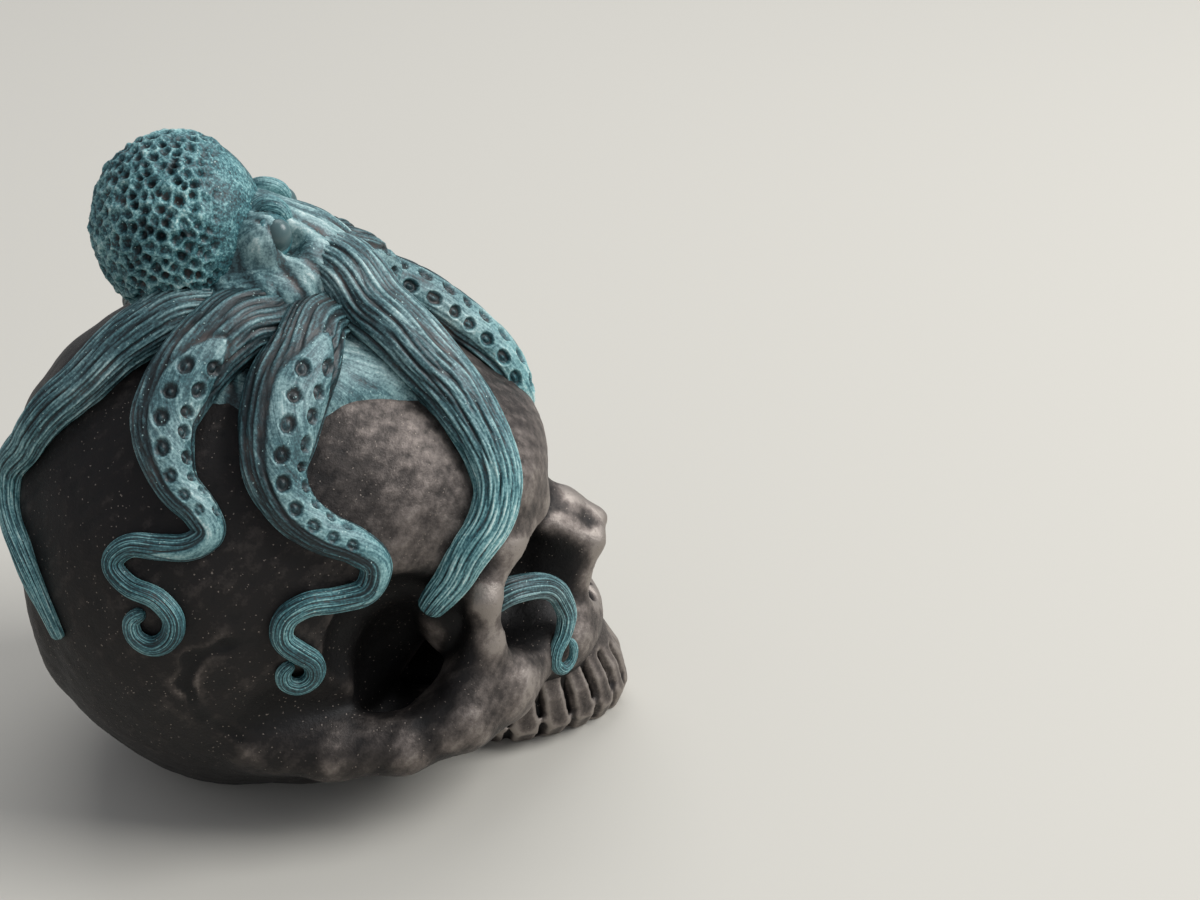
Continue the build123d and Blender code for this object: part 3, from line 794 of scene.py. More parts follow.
head_relief = SKIN_TONE + HEAD_STRAND_TONE * strand * loose * np.interp(head_reach, [3, 8], [0.4, 1])
head_relief = head_relief + 0.12 * ripple(head_verts, size=3, seed=13) + 0.1 * sheet
neck_around = neck_bearing * np.maximum(neck_reach, SHORTEST_NECK_REACH)
head_comb = [neck_around, neck_reach / BRUSH_STRETCH, head_verts[:, 2] / BRUSH_STRETCH]
head_comb = np.stack(head_comb, axis=-1) * mm
octopus_head = make_piece("octopus_head_and_web", head_verts, head_faces,
                          relief=head_relief, comb=head_comb, aged=np.ones(len(head_verts)))
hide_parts("head")
print("head and web:", len(head_faces) * 2, "triangles")

# %% [markdown]
# ## Mantle
# The octopus's bag-shaped body lies back over the crown. Its skin is a net of fine ridges around
# small pits, some with a bead in the middle, and it turns smooth towards the head. The pits follow
# the golden angle, as seeds do in a sunflower, and each strays a little from its place.

# %% Pits of the mantle
MANTLE_MIDDLE = np.array([-13.2, 4.0, 109.5])
MANTLE_RADII = np.array([15.2, 14.8, 16.7])
PIT_SPACING = 2.3
# Area of one pit as a share of its spacing squared, and how far a pit strays as a share of its spacing.
PIT_AREA_SHARE = 0.87
PIT_STRAY_SHARE = 0.22
picks = np.random.default_rng(5)
mean_radius = MANTLE_RADII.mean()
pit_count = int(4 * math.pi * mean_radius**2 / (PIT_AREA_SHARE * PIT_SPACING**2))
pit_height = 1 - (np.arange(pit_count) + 0.5) * 2 / pit_count
pit_turn = np.arange(pit_count) * math.pi * (3 - math.sqrt(5))
pit_ring = np.sqrt(1 - pit_height**2)
pits = np.stack([pit_ring * np.cos(pit_turn), pit_ring * np.sin(pit_turn), pit_height], axis=-1)
pits = unit(pits + picks.normal(scale=PIT_STRAY_SHARE * PIT_SPACING / mean_radius, size=pits.shape))
print("mantle:", pit_count, "pits")

# %% [markdown]
# A fine ball is the start of the mantle. Each of its corners looks for the two nearest pits: close
# to one it lies in the pit, and halfway between two it lies on a ridge. The corners are taken in
# chunks, because all distances at once would need a lot of memory.

# %% Nearest pits
BALL_SUBDIVISIONS = 7
CHUNKS = 60
bpy.ops.object.select_all(action="DESELECT")
bpy.ops.mesh.primitive_ico_sphere_add(subdivisions=BALL_SUBDIVISIONS, radius=1)
mantle = bpy.context.object
mantle.name = "octopus_mantle"
ways = np.zeros(len(mantle.data.vertices) * 3)
mantle.data.vertices.foreach_get("co", ways)
ways = unit(ways.reshape(-1, 3))
nearest = np.zeros(len(ways))
ridge_gap = np.zeros(len(ways))
own_pit = np.zeros(len(ways), dtype=int)
for part in np.array_split(np.arange(len(ways)), CHUNKS):
    apart = np.sqrt(np.maximum(2 - 2 * ways[part] @ pits.T, 0)) * mean_radius / PIT_SPACING
    two = np.partition(apart, 1, axis=1)
    nearest[part] = two[:, 0]
    ridge_gap[part] = two[:, 1] - two[:, 0]
    own_pit[part] = np.argmin(apart, axis=1)
print("mantle:", len(ways), "corners")

# %% [markdown]
# The corners move in and out by what they found, and the paint gets the same forms as light and dark: bright
# on ridges and beads, and dark in the pits, partly the dark base paint and partly painted shade.

# %% Mantle
# Widths are shares of the pits' spacing, heights are millimetres.
RIDGE_WIDTH_SHARE = 0.42
RIDGE_HEIGHT = 0.7
PIT_DEPTH = 0.85
BEAD_WIDTH_SHARE = 0.17
BEAD_HEIGHT = 0.75
BEADED_SHARE = 0.3
# What ridges, pits and beads add to the tone of the skin or take from it, and the rough skin as a whole.
RIDGE_TONE = 0.18
PIT_PAINT_AND_SHADE = 0.4
BEAD_TONE = 0.4
ROUGH_TONE = 0.08
# The skin is smooth on the side that this direction points to, toward the head.
SMOOTH_WAY = np.array([0.93, -0.1, 0.05])
SMOOTH_START = 0.62
SMOOTH_FADE = 0.35
rough = np.clip((SMOOTH_START - ways @ SMOOTH_WAY) / SMOOTH_FADE, 0, 1)
ridge = bell(ridge_gap, RIDGE_WIDTH_SHARE)
ridge_lift = 1 + 0.9 * ripple(ways * MANTLE_RADII, size=2.6, seed=23)
pit_depth = picks.uniform(0.5, 1.3, pit_count)[own_pit]
pit_width = picks.uniform(0.24, 0.36, pit_count)[own_pit]
bead = (picks.random(pit_count) < BEADED_SHARE)[own_pit] * bell(nearest, BEAD_WIDTH_SHARE)
hollow = bell(nearest, pit_width)
mantle_rise = RIDGE_HEIGHT * ridge * ridge_lift - PIT_DEPTH * pit_depth * hollow + BEAD_HEIGHT * bead
mantle_verts = MANTLE_MIDDLE + ways * MANTLE_RADII
mantle_rise = rough * mantle_rise + 0.12 * ripple(mantle_verts, size=7, seed=21)
mantle_verts = mantle_verts + ways * mantle_rise[:, None]
# The pits are darker: partly dark base paint, partly painted shade.
mantle_tone = RIDGE_TONE * ridge * ridge_lift - ROUGH_TONE - PIT_PAINT_AND_SHADE * pit_depth * hollow + BEAD_TONE * bead
mantle_relief = SKIN_TONE + rough * mantle_tone + 0.1 * ripple(mantle_verts, size=4, seed=22)
mantle.data.vertices.foreach_set("co", (mantle_verts * mm).ravel())
mantle.data.attributes.new("relief", "FLOAT", "POINT").data.foreach_set("value", mantle_relief)
comb = mantle.data.attributes.new("comb", "FLOAT_VECTOR", "POINT")
comb.data.foreach_set("vector", (mantle_verts * mm).ravel())
mantle.data.update()
bpy.ops.object.shade_smooth()
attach(mantle, "root")
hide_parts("mantle")
print("mantle:", len(mantle.data.polygons), "triangles")

# %% [markdown]
# ## Arms
# Each arm starts high on the head, drapes over the bone and tapers toward its tip. A modeller would
# roll an arm, lay it on, comb it with a tool and press the suckers in with a round stick. Here a
# ring of points is swept along each route. A curve with a round bevel would give the tube too, but
# not the strands and suckers that the rings are about to carry.

# %% Swept rings
ARM_FLATNESS = 0.86


def ring_angles(count):
    """Even angles once round a ring."""
    return np.linspace(0, 2 * math.pi, count, endpoint=False)


def sweep(middles, radii, outward, rise):
    """Rings of points around a middle line; rise is added to the radius at each point of each ring."""
    along = unit(np.gradient(middles, axis=0))
    side = unit(np.cross(along, outward))
    top = np.cross(side, along)
    angle = ring_angles(rise.shape[1])
    wide = (radii[:, None] + rise) * np.cos(angle)
    high = (radii[:, None] + rise) * np.sin(angle) * ARM_FLATNESS
    return middles[:, None] + wide[..., None] * side[:, None] + high[..., None] * top[:, None]


def ring_faces(rings, segments):
    """Four-sided faces of a tube, with both ends closed by strips across."""
    ring, spot = np.meshgrid(np.arange(rings - 1), np.arange(segments), indexing="ij")
    after = (spot + 1) % segments
    walls = np.stack([ring * segments + spot, (ring + 1) * segments + spot, (ring + 1) * segments + after,
                      ring * segments + after], axis=-1).reshape(-1, 4)
    first = np.arange(segments // 2 - 1)
    last = segments - 1 - first
    start_cap = np.stack([first, first + 1, last - 1, last], axis=-1)
    end_cap = start_cap[:, ::-1] + (rings - 1) * segments
    return np.concatenate([walls, start_cap, end_cap])


# %% [markdown]
# The comb leaves uneven strands of three widths along the arm. The suckers are cups with a button
# in the middle, in two rows on a smoother band where the arm shows its underside.

# %% Strands and suckers
ARM_SEGMENTS = 150
# Number of strands round an arm and their share of the height.
ARM_STRANDS = ((12, 0.65), (21, 0.7), (36, 0.65))
ARM_STRAND_LEVEL = 1.5
ARM_STRAND_ROUNDNESS = 0.55
ARM_STRAND_DRIFT = 2.2
ARM_STRAND_DRIFT_SIZE = 15
# A sucker's size and its row's distance from the middle of the band, as shares of the arm's radius with
# a limit in millimetres, and the way from one sucker to the next in sizes.
SUCKER_SHARE = 0.33
SUCKER_LIMIT = 1.55
ROW_SHARE = 0.5
ROW_LIMIT = 2.3
SUCKER_PITCH = 1.55
# Heights of a sucker's lip, cup and button, the button's width, and the lip's place and width, in sizes.
LIP_HEIGHT = 0.1
CUP_DEPTH = 0.75
BUTTON_HEIGHT = 0.45
BUTTON_WIDTH = 0.5
LIP_PLACE = 1.15
LIP_WIDTH = 0.14
# The band begins before the first sucker and ends after the last, as shares of the arm's length, and
# narrows to a point there over these millimetres.
BAND_LEAD_SHARE = 0.05
BAND_TAIL_SHARE = 0.12
BAND_LEAD_TAPER = 11
BAND_TAIL_TAPER = 14
BAND_WIDTH_SHARE = 1.05
BAND_EDGE_SHARE = 0.25
# Where the band of suckers sits, in degrees round the arm from its side, and how far down it runs.
SUCKER_BANDS = {
    "arm_side_right": (122, 0.25, 0.52),
    "arm_temple_right": (122, 0.21, 0.54),
    "arm_forehead": (40, 0.14, 0.93),
    "arm_temple_left": (58, 0.10, 0.55),
    "arm_rear_left": (58, 0.10, 0.55),
    "arm_brow_left": (125, 0.12, 0.9),
}


def combed(points, seed):
    """Uneven lengthwise strands on the rings of an arm: minus in a crease, plus on a crest."""
    angle = ring_angles(points.shape[1])
    flat = points.reshape(-1, 3)
    height = -ARM_STRAND_LEVEL
    for number, (strands, share) in enumerate(ARM_STRANDS):
        drift = ripple(flat, ARM_STRAND_DRIFT_SIZE, 10 * seed + number).reshape(points.shape[:2])
        wave = np.sin(0.5 * strands * angle[None] + ARM_STRAND_DRIFT * drift)
        height = height + share * np.abs(wave) ** ARM_STRAND_ROUNDNESS
    return height


def sucker_marks(middles, radii, band):
    """Height of the pressed suckers in millimetres, and how far each point lies in the sucker band."""
    centre, start, end = band
    run = run_along(middles)
    across = (ring_angles(ARM_SEGMENTS) - math.radians(centre) + math.pi) % (2 * math.pi) - math.pi
    sideways = across[None] * radii[:, None]
    height = np.zeros((len(radii), ARM_SEGMENTS))
    place = start * run[-1]
    row = 1
    while place < end * run[-1]:
        arm_radius = np.interp(place, run, radii)
        size = min(SUCKER_SHARE * arm_radius, SUCKER_LIMIT)
        offset = row * min(ROW_SHARE * arm_radius, ROW_LIMIT)
        apart = np.hypot(run[:, None] - place, sideways - offset) / size
        lip = bell(apart - LIP_PLACE, LIP_WIDTH)
        cup = np.clip(1 - apart**6, 0, 1)
        button = bell(apart, BUTTON_WIDTH)
        height += size * (LIP_HEIGHT * lip - CUP_DEPTH * cup + BUTTON_HEIGHT * button)
        place += SUCKER_PITCH * size
        row = -row
    from_start = np.clip((run - (start - BAND_LEAD_SHARE) * run[-1]) / BAND_LEAD_TAPER, 0, 1)
    to_end = np.clip(((end + BAND_TAIL_SHARE) * run[-1] - run) / BAND_TAIL_TAPER, 0, 1)
    band_width = BAND_WIDTH_SHARE * radii * np.sqrt(from_start * to_end)
    to_edge = band_width[:, None] - np.abs(sideways)
    inside = np.clip(to_edge / (BAND_EDGE_SHARE * radii[:, None]), 0, 1)
    return height, inside


print("suckers on", len(SUCKER_BANDS), "arms")

# %% [markdown]
# A finished arm is swept twice: once plain, to know where the strands run, and once with strands
# and suckers. The same forms go to the paint as light and dark. The paint is rubbed grey near the
# head and stays fresh and bright toward the tip, and the tip is rounded off.

# %% One arm
COMB_DEPTH_SHARE = 0.13
COMB_RADIUS_LIMIT = 5
TIP_ROUNDING = 1.2
TIP_SMALLEST_SHARE = 0.002
# Shares of the arm's length left before the tip, between which the paint turns from fresh to aged.
FRESH_SHARE = 0.3
AGED_SHARE = 0.6
FRESH_TONE = 0.13
# Tone of an arm, what the strands add, the painted shade beside a sucker band, partly darker paint, the
# band's own tone, the painted shade that the sucker cups take from it and the little light that lips and
# buttons add up to a limit of their height, and what its rim takes.
ARM_TONE = 0.48
ARM_STRAND_TONE = 0.5
BESIDE_BAND_SHADE_AND_PAINT = 0.14
BAND_TONE = 0.6
SUCKER_SHADE = 0.38
SUCKER_SHADE_LIMIT = 0.15
RIM_TONE = 0.2
# The band smooths the strands, its rim is a shallow groove, and its suckers keep off that rim.
BAND_SMOOTHING = 0.85
RIM_DEPTH_SHARE = 0.06
SUCKERS_INSIDE = 0.3


def arm_piece(name, middles, radii, outward, band=None, seed=1, comb_share=1):
    """A finished arm: tapered, combed, with its suckers; comb_share makes the strands shallower."""
    plain = sweep(middles, radii, outward, np.zeros((len(radii), ARM_SEGMENTS)))
    strands = comb_share * combed(plain, seed)
    comb_depth = COMB_DEPTH_SHARE * np.minimum(radii, COMB_RADIUS_LIMIT)[:, None]
    tone = ARM_TONE + ARM_STRAND_TONE * strands
    rise = comb_depth * strands
    if band:
        marks, inside = sucker_marks(middles, radii, band)
        rim = inside * (1 - inside) * 4
        rise = rise * (1 - BAND_SMOOTHING * inside) + marks * (inside > SUCKERS_INSIDE)
        rise = rise - RIM_DEPTH_SHARE * radii[:, None] * rim
        # Painted shade in the sucker cups, a little lighter on lips and buttons.
        band_tone = BAND_TONE + SUCKER_SHADE * np.minimum(marks, SUCKER_SHADE_LIMIT)
        # Beside the band the arm gets painted shade, partly darker paint.
        tone = (tone - BESIDE_BAND_SHADE_AND_PAINT) * (1 - inside) + inside * band_tone - RIM_TONE * rim
    left = len(radii) - 1 - np.arange(len(radii))
    aged = np.interp(left / len(radii), [FRESH_SHARE, AGED_SHARE], [0, 1])[:, None]
    tone = tone + FRESH_TONE * (1 - aged)
    from_tip = np.clip(left * ARM_STEP / TIP_ROUNDING, TIP_SMALLEST_SHARE, 1)
    round_end = np.sqrt(1 - (1 - from_tip) ** 2)
    points = sweep(middles, radii * round_end, outward, rise * round_end[:, None])
    from_below = ring_angles(ARM_SEGMENTS)[None] + math.pi / 2
    around = (from_below % (2 * math.pi)) * radii[:, None]
    run = np.broadcast_to(ARM_STEP * left[:, None], around.shape)
    comb = [around, run / BRUSH_STRETCH, np.full(around.shape, seed)]
    comb = np.stack(comb, axis=-1).reshape(-1, 3)
    piece = make_piece(name, points.reshape(-1, 3), ring_faces(len(radii), ARM_SEGMENTS),
                       relief=tone.ravel(), comb=comb * mm, aged=np.broadcast_to(aged, tone.shape).ravel())
    return piece


# %% [markdown]
# All eight arms go through the same steps; each has its own seed, so no two are combed alike.

# %% Eight arms
for seed, name in enumerate(ARMS):
    piece = arm_piece(name + "_skin", *arm_lines[name], SUCKER_BANDS.get(name), seed + 1)
    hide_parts(name)
    print(piece.name, len(piece.data.polygons) * 2, "triangles")

# %% [markdown]
# ## Arm tip in the eye socket
# The brow arm dives behind the rim of the right eye socket. Its thin end comes out of the socket,
# bends over the cheek and closes in a small loop. It is swept like the other arms.

# %% Arm tip
tip_stops = [
    (34, -26.5, 41), (37.3, -26, 42.5), (41.2, -25.5, 44.5), (45.6, -23, 43.8), (49.8, -19.5, 41),
    (52.5, -17.3, 36.8), (53.6, -17, 32.2), (52.7, -18.3, 28.8), (51, -20.2, 26), (50.8, -20.8, 24),
    (52.4, -20.2, 22), (54.2, -18.8, 22.8), (54.8, -18, 25.3), (54.1, -17.8, 27.4)]
tip_radii = [2.5, 2.6, 2.6, 2.5, 2.4, 2.3, 2.1, 1.8, 1.5, 1.3, 1.15, 1.0, 0.9, 0.7]
# Which way the tip's back faces at each stop: first up and outward, then forward over the cheek.
tip_outward = [(0.2, -0.7, 0.7)] * 3 + [(0.4, -0.6, 0.7), (0.7, -0.5, 0.5)] + [(0.8, -0.6, 0.1)] * 9
tip_middles, tip_radii, tip_outward = even_way(tip_stops, ARM_STEP, tip_radii, tip_outward)
arm_tip = arm_piece("arm_tip_in_eye_socket", tip_middles, tip_radii[:, 0], tip_outward, seed=9)
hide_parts("arm_brow_right_tip")
print(arm_tip.name, len(arm_tip.data.polygons) * 2, "triangles")

# %% [markdown]
# ## Eyes and horns
# The eyes are small glossy domes in a socket of folded lids, with a little horn of skin above each.
# The domes are balls and the lids are rings, as a modeller would place them, partly sunk in clay.

# %% Eyes and lids
EYE_WAYS = {"right": (0.72, -0.6, 0.35), "left": (0.72, 0.6, 0.35)}
EYE_RADIUS = 2.3
EYE_HEIGHT_SHARE = 1.3
EYE_OUT = 1.2
LID_RADIUS = 3.0
LID_THICKNESS = 0.9
LID_OUT = 0.2
LID_RELIEF = 0.5


def settled(name):
    """Names the shape just added, smooths it, fixes its turn and size in the mesh and seats it."""
    piece = bpy.context.object
    piece.name = name
    bpy.ops.object.shade_smooth()
    bpy.ops.object.transform_apply(location=True, rotation=True, scale=True)
    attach(piece, "root")
    return piece


for side, place in EYE_PLACES.items():
    away = np.array(EYE_WAYS[side])
    bpy.ops.object.select_all(action="DESELECT")
    bpy.ops.mesh.primitive_uv_sphere_add(
        segments=48, ring_count=24, radius=EYE_RADIUS * mm, location=(place + EYE_OUT * away) * mm,
        scale=(1, 1, EYE_HEIGHT_SHARE))
    eye = settled("eyeball_" + side)
    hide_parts("eye_" + side)
    bpy.ops.object.select_all(action="DESELECT")
    bpy.ops.mesh.primitive_torus_add(
        major_segments=64, minor_segments=20, major_radius=LID_RADIUS * mm, minor_radius=LID_THICKNESS * mm,
        location=(place + LID_OUT * away) * mm,
        rotation=(0, math.acos(away[2]), math.atan2(away[1], away[0])))
    lid = settled("eyelid_" + side)
    lid.data.attributes.new("relief", "FLOAT", "POINT").data.foreach_set(
        "value", np.full(len(lid.data.vertices), LID_RELIEF, dtype=np.float32))
    print(eye.name, "and", lid.name)

# %% [markdown]
# Each horn lies down over its eye like a folded brow, so it is swept like a short arm, with
# shallower strands. The left route is the right one mirrored about the head's middle.

# %% Horns
HORN_STOPS = [(-3, 5.4, 108.5), (-1, 4.6, 112), (1.6, 4.2, 114.3), (4.6, 4.6, 113.6), (6.2, 5.2, 111)]
HORN_RADII = [2.4, 2.3, 2.0, 1.7, 1.2]
HORN_SEED = 10
HORN_COMB_SHARE = 0.35
for side, sign in (("right", -1), ("left", 1)):
    horn_stops = np.array(HORN_STOPS) * (1, sign, 1) + (0, HEAD_MIDDLE[1], 0)
    horn_outward = [(0.4, 0.9 * sign, 0.2)] * len(HORN_STOPS)
    horn_middles, horn_radii, horn_outward = even_way(horn_stops, ARM_STEP, HORN_RADII, horn_outward)
    horn = arm_piece("horn_skin_" + side, horn_middles, horn_radii[:, 0], horn_outward,
                     seed=HORN_SEED, comb_share=HORN_COMB_SHARE)
    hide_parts("horn_" + side)
    print(horn.name, len(horn.data.polygons) * 2, "triangles")

# %% [markdown]
# ## Teeth
# The muzzle flares out to the front and is ribbed: long dark slots part the roots, and a second
# row of shorter slots parts the crowns. It is a finer block of clay with the slots scooped out.

# %% Muzzle
TEETH_BACK = 37.5
MUZZLE_TOP = 24
# Length and half width of the muzzle by height, and its narrowing toward the back end.
FLARE_HEIGHTS = [0, 5, 12, MUZZLE_TOP]
FLARE_LENGTHS = [29.4, 30.8, 29.4, 22.6]
FLARE_WIDTHS = [14.2, 18.6, 18.2, 15.0]
NARROW_PLACES = [30, 42]
NARROW_SHARES = [0.72, 1]
teeth_step = 0.45
teeth_low = np.array([30.0, -21.0, -1.5])
teeth_size = np.array([40.5, 42.0, 28.0])
teeth_block = point_block(teeth_low, teeth_size, teeth_step)
arch_length = np.interp(teeth_block[..., 2], FLARE_HEIGHTS, FLARE_LENGTHS)
arch_width = np.interp(teeth_block[..., 2], FLARE_HEIGHTS, FLARE_WIDTHS)
forward = np.maximum(teeth_block[..., 0] - TEETH_BACK, 0)
arch_width = arch_width * np.interp(teeth_block[..., 0], NARROW_PLACES, NARROW_SHARES)
muzzle = (np.hypot(forward / arch_length, teeth_block[..., 1] / arch_width) - 1) * arch_width
muzzle = np.maximum(muzzle, teeth_block[..., 2] - MUZZLE_TOP)
muzzle = scoop(muzzle, lump(teeth_block, *PALATE), PALATE_SOFT)
print("muzzle: block of", muzzle.shape, "points")

# %% [markdown]
# The slots stand in a fan round the muzzle. Each gap has a slot between the crowns, one between the
# roots and a thin one that joins them, all a little higher or lower from gap to gap. A narrower
# slot behind each one makes it deeper.

# %% Teeth
TOOTH_GAPS = 13
GAP_FAN = 164
UNEVEN_HEIGHT = 0.8
UNEVEN_TURN = 2.3
# Low end, high end and radius of the slots in a gap.
SLOTS = ((0.5, 5.0, 1.0), (8.0, 15.5, 0.95), (5, 9, 0.45))
SLOT_SOFT = 0.6
INNER_PLACE_SHARE = 0.93
INNER_RADIUS_SHARE = 0.8
TEETH_ROUNDS = 3
TEETH_BRUSHED_AND_LIT = 0.3
for gap in range(TOOTH_GAPS):
    turn = math.radians(GAP_FAN * gap / (TOOTH_GAPS - 1) - GAP_FAN / 2)
    uneven = UNEVEN_HEIGHT * math.sin(UNEVEN_TURN * gap)
    for low_end, high_end, slot_radius in SLOTS:
        ends = []
        for height in (low_end + uneven, high_end + uneven):
            ends.append((TEETH_BACK + np.interp(height, FLARE_HEIGHTS, FLARE_LENGTHS) * math.cos(turn),
                         np.interp(height, FLARE_HEIGHTS, FLARE_WIDTHS) * math.sin(turn), height))
        inner_ends = [(TEETH_BACK + INNER_PLACE_SHARE * (x - TEETH_BACK), INNER_PLACE_SHARE * y, z)
                      for x, y, z in ends]
        inner_radius = INNER_RADIUS_SHARE * slot_radius
        muzzle = scoop(muzzle, roll(teeth_block, *ends, slot_radius, slot_radius), SLOT_SOFT)
        muzzle = scoop(muzzle, roll(teeth_block, *inner_ends, inner_radius, inner_radius), SLOT_SOFT)
muzzle = np.maximum(muzzle, -teeth_block[..., 2]).astype(np.float32)
teeth_verts, teeth_faces = skin(muzzle, teeth_low, teeth_step)
teeth_verts = soften(teeth_verts, teeth_faces, TEETH_ROUNDS)
teeth_worn = wear(teeth_verts, teeth_faces, fine_share=2.6, broad_share=1.2, broad_rounds=20)
# The teeth are lighter all over: partly dry brush, partly painted light, like the front of the skull.
teeth_worn = TEETH_BRUSHED_AND_LIT + teeth_worn
teeth = make_piece("teeth", teeth_verts, teeth_faces, worn=teeth_worn)
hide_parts("upper_teeth")
print("teeth:", len(teeth_faces) * 2, "triangles")

# %% [markdown]
# ## Finish
# Two paints on cast resin. The bone is nearly black, dry-brushed with bronze where it stands out, with fine
# metal flakes. The octopus is verdigris: dark blue-green in the creases, pale turquoise on the ridges,
# greyer near the head, and some bronze left showing in the deep folds. Both are made of nodes alone: noise
# for the brush and the patches, and the corners' attributes for the wear, with painted light and painted
# shade worked into them.

# %% Tools for paint
FLAKE_SIZE = 0.2 * mm


def linear(code):
    """A colour written as a web code, by the screen's standard curve, as the renderer takes it."""
    parts = [int(code[k:k + 2], 16) / 255 for k in (1, 3, 5)]
    return (*[p / 12.92 if p <= 0.04045 else ((p + 0.055) / 1.055) ** 2.4 for p in parts], 1)


def add(tree, kind, settings=(), **inputs):
    """Adds a node with its settings; each input is a value or the socket that feeds it."""
    made = tree.nodes.new("ShaderNode" + kind)
    for label, value in dict(settings).items():
        setattr(made, label, value)
    for label, value in inputs.items():
        number = label[1:]
        socket = made.inputs[int(number) if number.isdigit() else label.replace("_", " ")]
        if isinstance(value, bpy.types.NodeSocket):
            tree.links.new(value, socket)
        else:
            socket.default_value = value
    return made


def new_paint(name):
    """An empty material with its tree, its surface node and the object's own coordinates."""
    paint = bpy.data.materials.new(name)
    paint.use_nodes = True
    tree = paint.node_tree
    place = add(tree, "TexCoord").outputs["Object"]
    return paint, tree, tree.nodes["Principled BSDF"], place


def fill_ramp(ramp, stops):
    """Colours of a ramp from places and web codes."""
    while len(ramp.color_ramp.elements) < len(stops):
        ramp.color_ramp.elements.new(1)
    for element, (place, code) in zip(ramp.color_ramp.elements, stops):
        element.position = place
        element.color = linear(code)


def layered(tree, start, layers, less):
    """Textures added to a start value, each by its share, and a set amount taken off."""
    total = start
    for texture, share in layers:
        total = add(tree, "Math", {"operation": "MULTIPLY_ADD"}, _0=texture, _1=share, _2=total).outputs[0]
    return add(tree, "Math", {"operation": "SUBTRACT"}, _0=total, _1=less).outputs[0]


def with_flakes(tree, place, colour, bare_share, code):
    """A colour with fine metal flakes in it; bare_share is the share of the paint without a flake."""
    cells = add(tree, "TexVoronoi", Vector=place, Scale=1 / FLAKE_SIZE).outputs["Color"]
    pick = add(tree, "SeparateColor", Color=cells).outputs[0]
    flake = add(tree, "Math", {"operation": "GREATER_THAN"}, _0=pick, _1=bare_share).outputs[0]
    return add(tree, "Mix", {"data_type": "RGBA"}, _0=flake, _6=colour, _7=linear(code)).outputs[2]


def even_paint(name, code, roughness):
    """A paint of one even colour."""
    paint, *_ = new_paint(name)
    surface = paint.node_tree.nodes["Principled BSDF"]
    surface.inputs["Base Color"].default_value = linear(code)
    surface.inputs["Roughness"].default_value = roughness
    return paint


print("brightest verdigris as the renderer takes it:", [round(part, 3) for part in linear("#c2d8d4")])

# %% [markdown]
# The octopus looks as if it was painted dark, then brushed lighter along the strands. So its tone is the
# relief of the corners, which already holds painted shade in the mantle's pits, in the sucker cups and
# beside the sucker bands, plus broad patches, plus streaks that follow the comb, plus grit.

# %% Tone of the verdigris
PATCH_SIZE = 9 * mm
STREAK_SIZE = 0.9 * mm
GRIT_SIZE = 0.45 * mm
verdigris, tree, surface, place = new_paint("verdigris painted resin")
relief = add(tree, "Attribute", {"attribute_name": "relief"}).outputs["Fac"]
comb = add(tree, "Attribute", {"attribute_name": "comb"}).outputs["Vector"]
patches = add(tree, "TexNoise", Vector=place, Scale=1 / PATCH_SIZE, Detail=3.0).outputs["Fac"]
brush = add(tree, "TexNoise", Vector=comb, Scale=1 / STREAK_SIZE, Detail=4.0, Roughness=0.65).outputs["Fac"]
grit = add(tree, "TexNoise", Vector=place, Scale=1 / GRIT_SIZE, Detail=2.0).outputs["Fac"]
tone = layered(tree, relief, ((patches, 0.6), (brush, 0.8), (grit, 0.5)), less=0.97)
print("verdigris tone:", len(tree.nodes), "nodes")

# %% [markdown]
# The tone picks the colour from a ramp. Where the paint is aged, patches of it lose strength and
# turn grey, and in the deep folds some of the bronze below shows through.

# %% Colours of the verdigris
VERDIGRIS_COLOURS = [
    (0.10, "#0a171a"), (0.32, "#1a3338"), (0.53, "#40696f"), (0.74, "#80a8a9"), (0.95, "#c2d8d4")]
OLD_BRONZE = "#4b4542"
FRESH_STRENGTH = 1.12
AGED_LOSS = 0.5
VERDIGRIS_ROUGHNESS = 0.48
VERDIGRIS_IOR = 1.5
VERDIGRIS_BUMP = 0.6
BUMP_HEIGHT = 0.3 * mm
colours = add(tree, "ValToRGB", Fac=tone)
fill_ramp(colours, VERDIGRIS_COLOURS)
aged = add(tree, "Attribute", {"attribute_name": "aged"}).outputs["Fac"]
aged_patches = add(tree, "Math", {"operation": "MULTIPLY"}, _0=aged, _1=patches).outputs[0]
strength = add(tree, "Math", {"operation": "MULTIPLY_ADD"},
               _0=aged_patches, _1=-AGED_LOSS, _2=FRESH_STRENGTH).outputs[0]
green = add(tree, "HueSaturation", Color=colours.outputs["Color"], Saturation=strength).outputs["Color"]
bronze_patches = add(tree, "MapRange", Value=patches, From_Min=0.52, From_Max=0.66).outputs[0]
deep = add(tree, "MapRange", Value=tone, From_Min=0.5, From_Max=0.25).outputs[0]
bronze_share = add(tree, "Math", {"operation": "MULTIPLY"}, _0=bronze_patches, _1=deep).outputs[0]
mixed = add(tree, "Mix", {"data_type": "RGBA"}, _0=bronze_share, _6=green, _7=linear(OLD_BRONZE)).outputs[2]
shown = with_flakes(tree, place, mixed, bare_share=0.996, code="#9dbcb9")
bump = add(tree, "Bump", Height=brush, Strength=VERDIGRIS_BUMP, Distance=BUMP_HEIGHT).outputs["Normal"]
for label, socket in (("Base Color", shown), ("Normal", bump)):
    tree.links.new(socket, surface.inputs[label])
surface.inputs["Roughness"].default_value = VERDIGRIS_ROUGHNESS
surface.inputs["IOR"].default_value = VERDIGRIS_IOR
print("verdigris:", len(tree.nodes), "nodes")

# %% [markdown]
# The bone is black resin with a bronze dry-brush. The wear of the corners carries it, with the painted light
# toward the front and the painted shade in the hollows and low on the sides added to it, broken up by
# patches and the marks of the brush, and the brighter the bronze, the more it shines like metal.

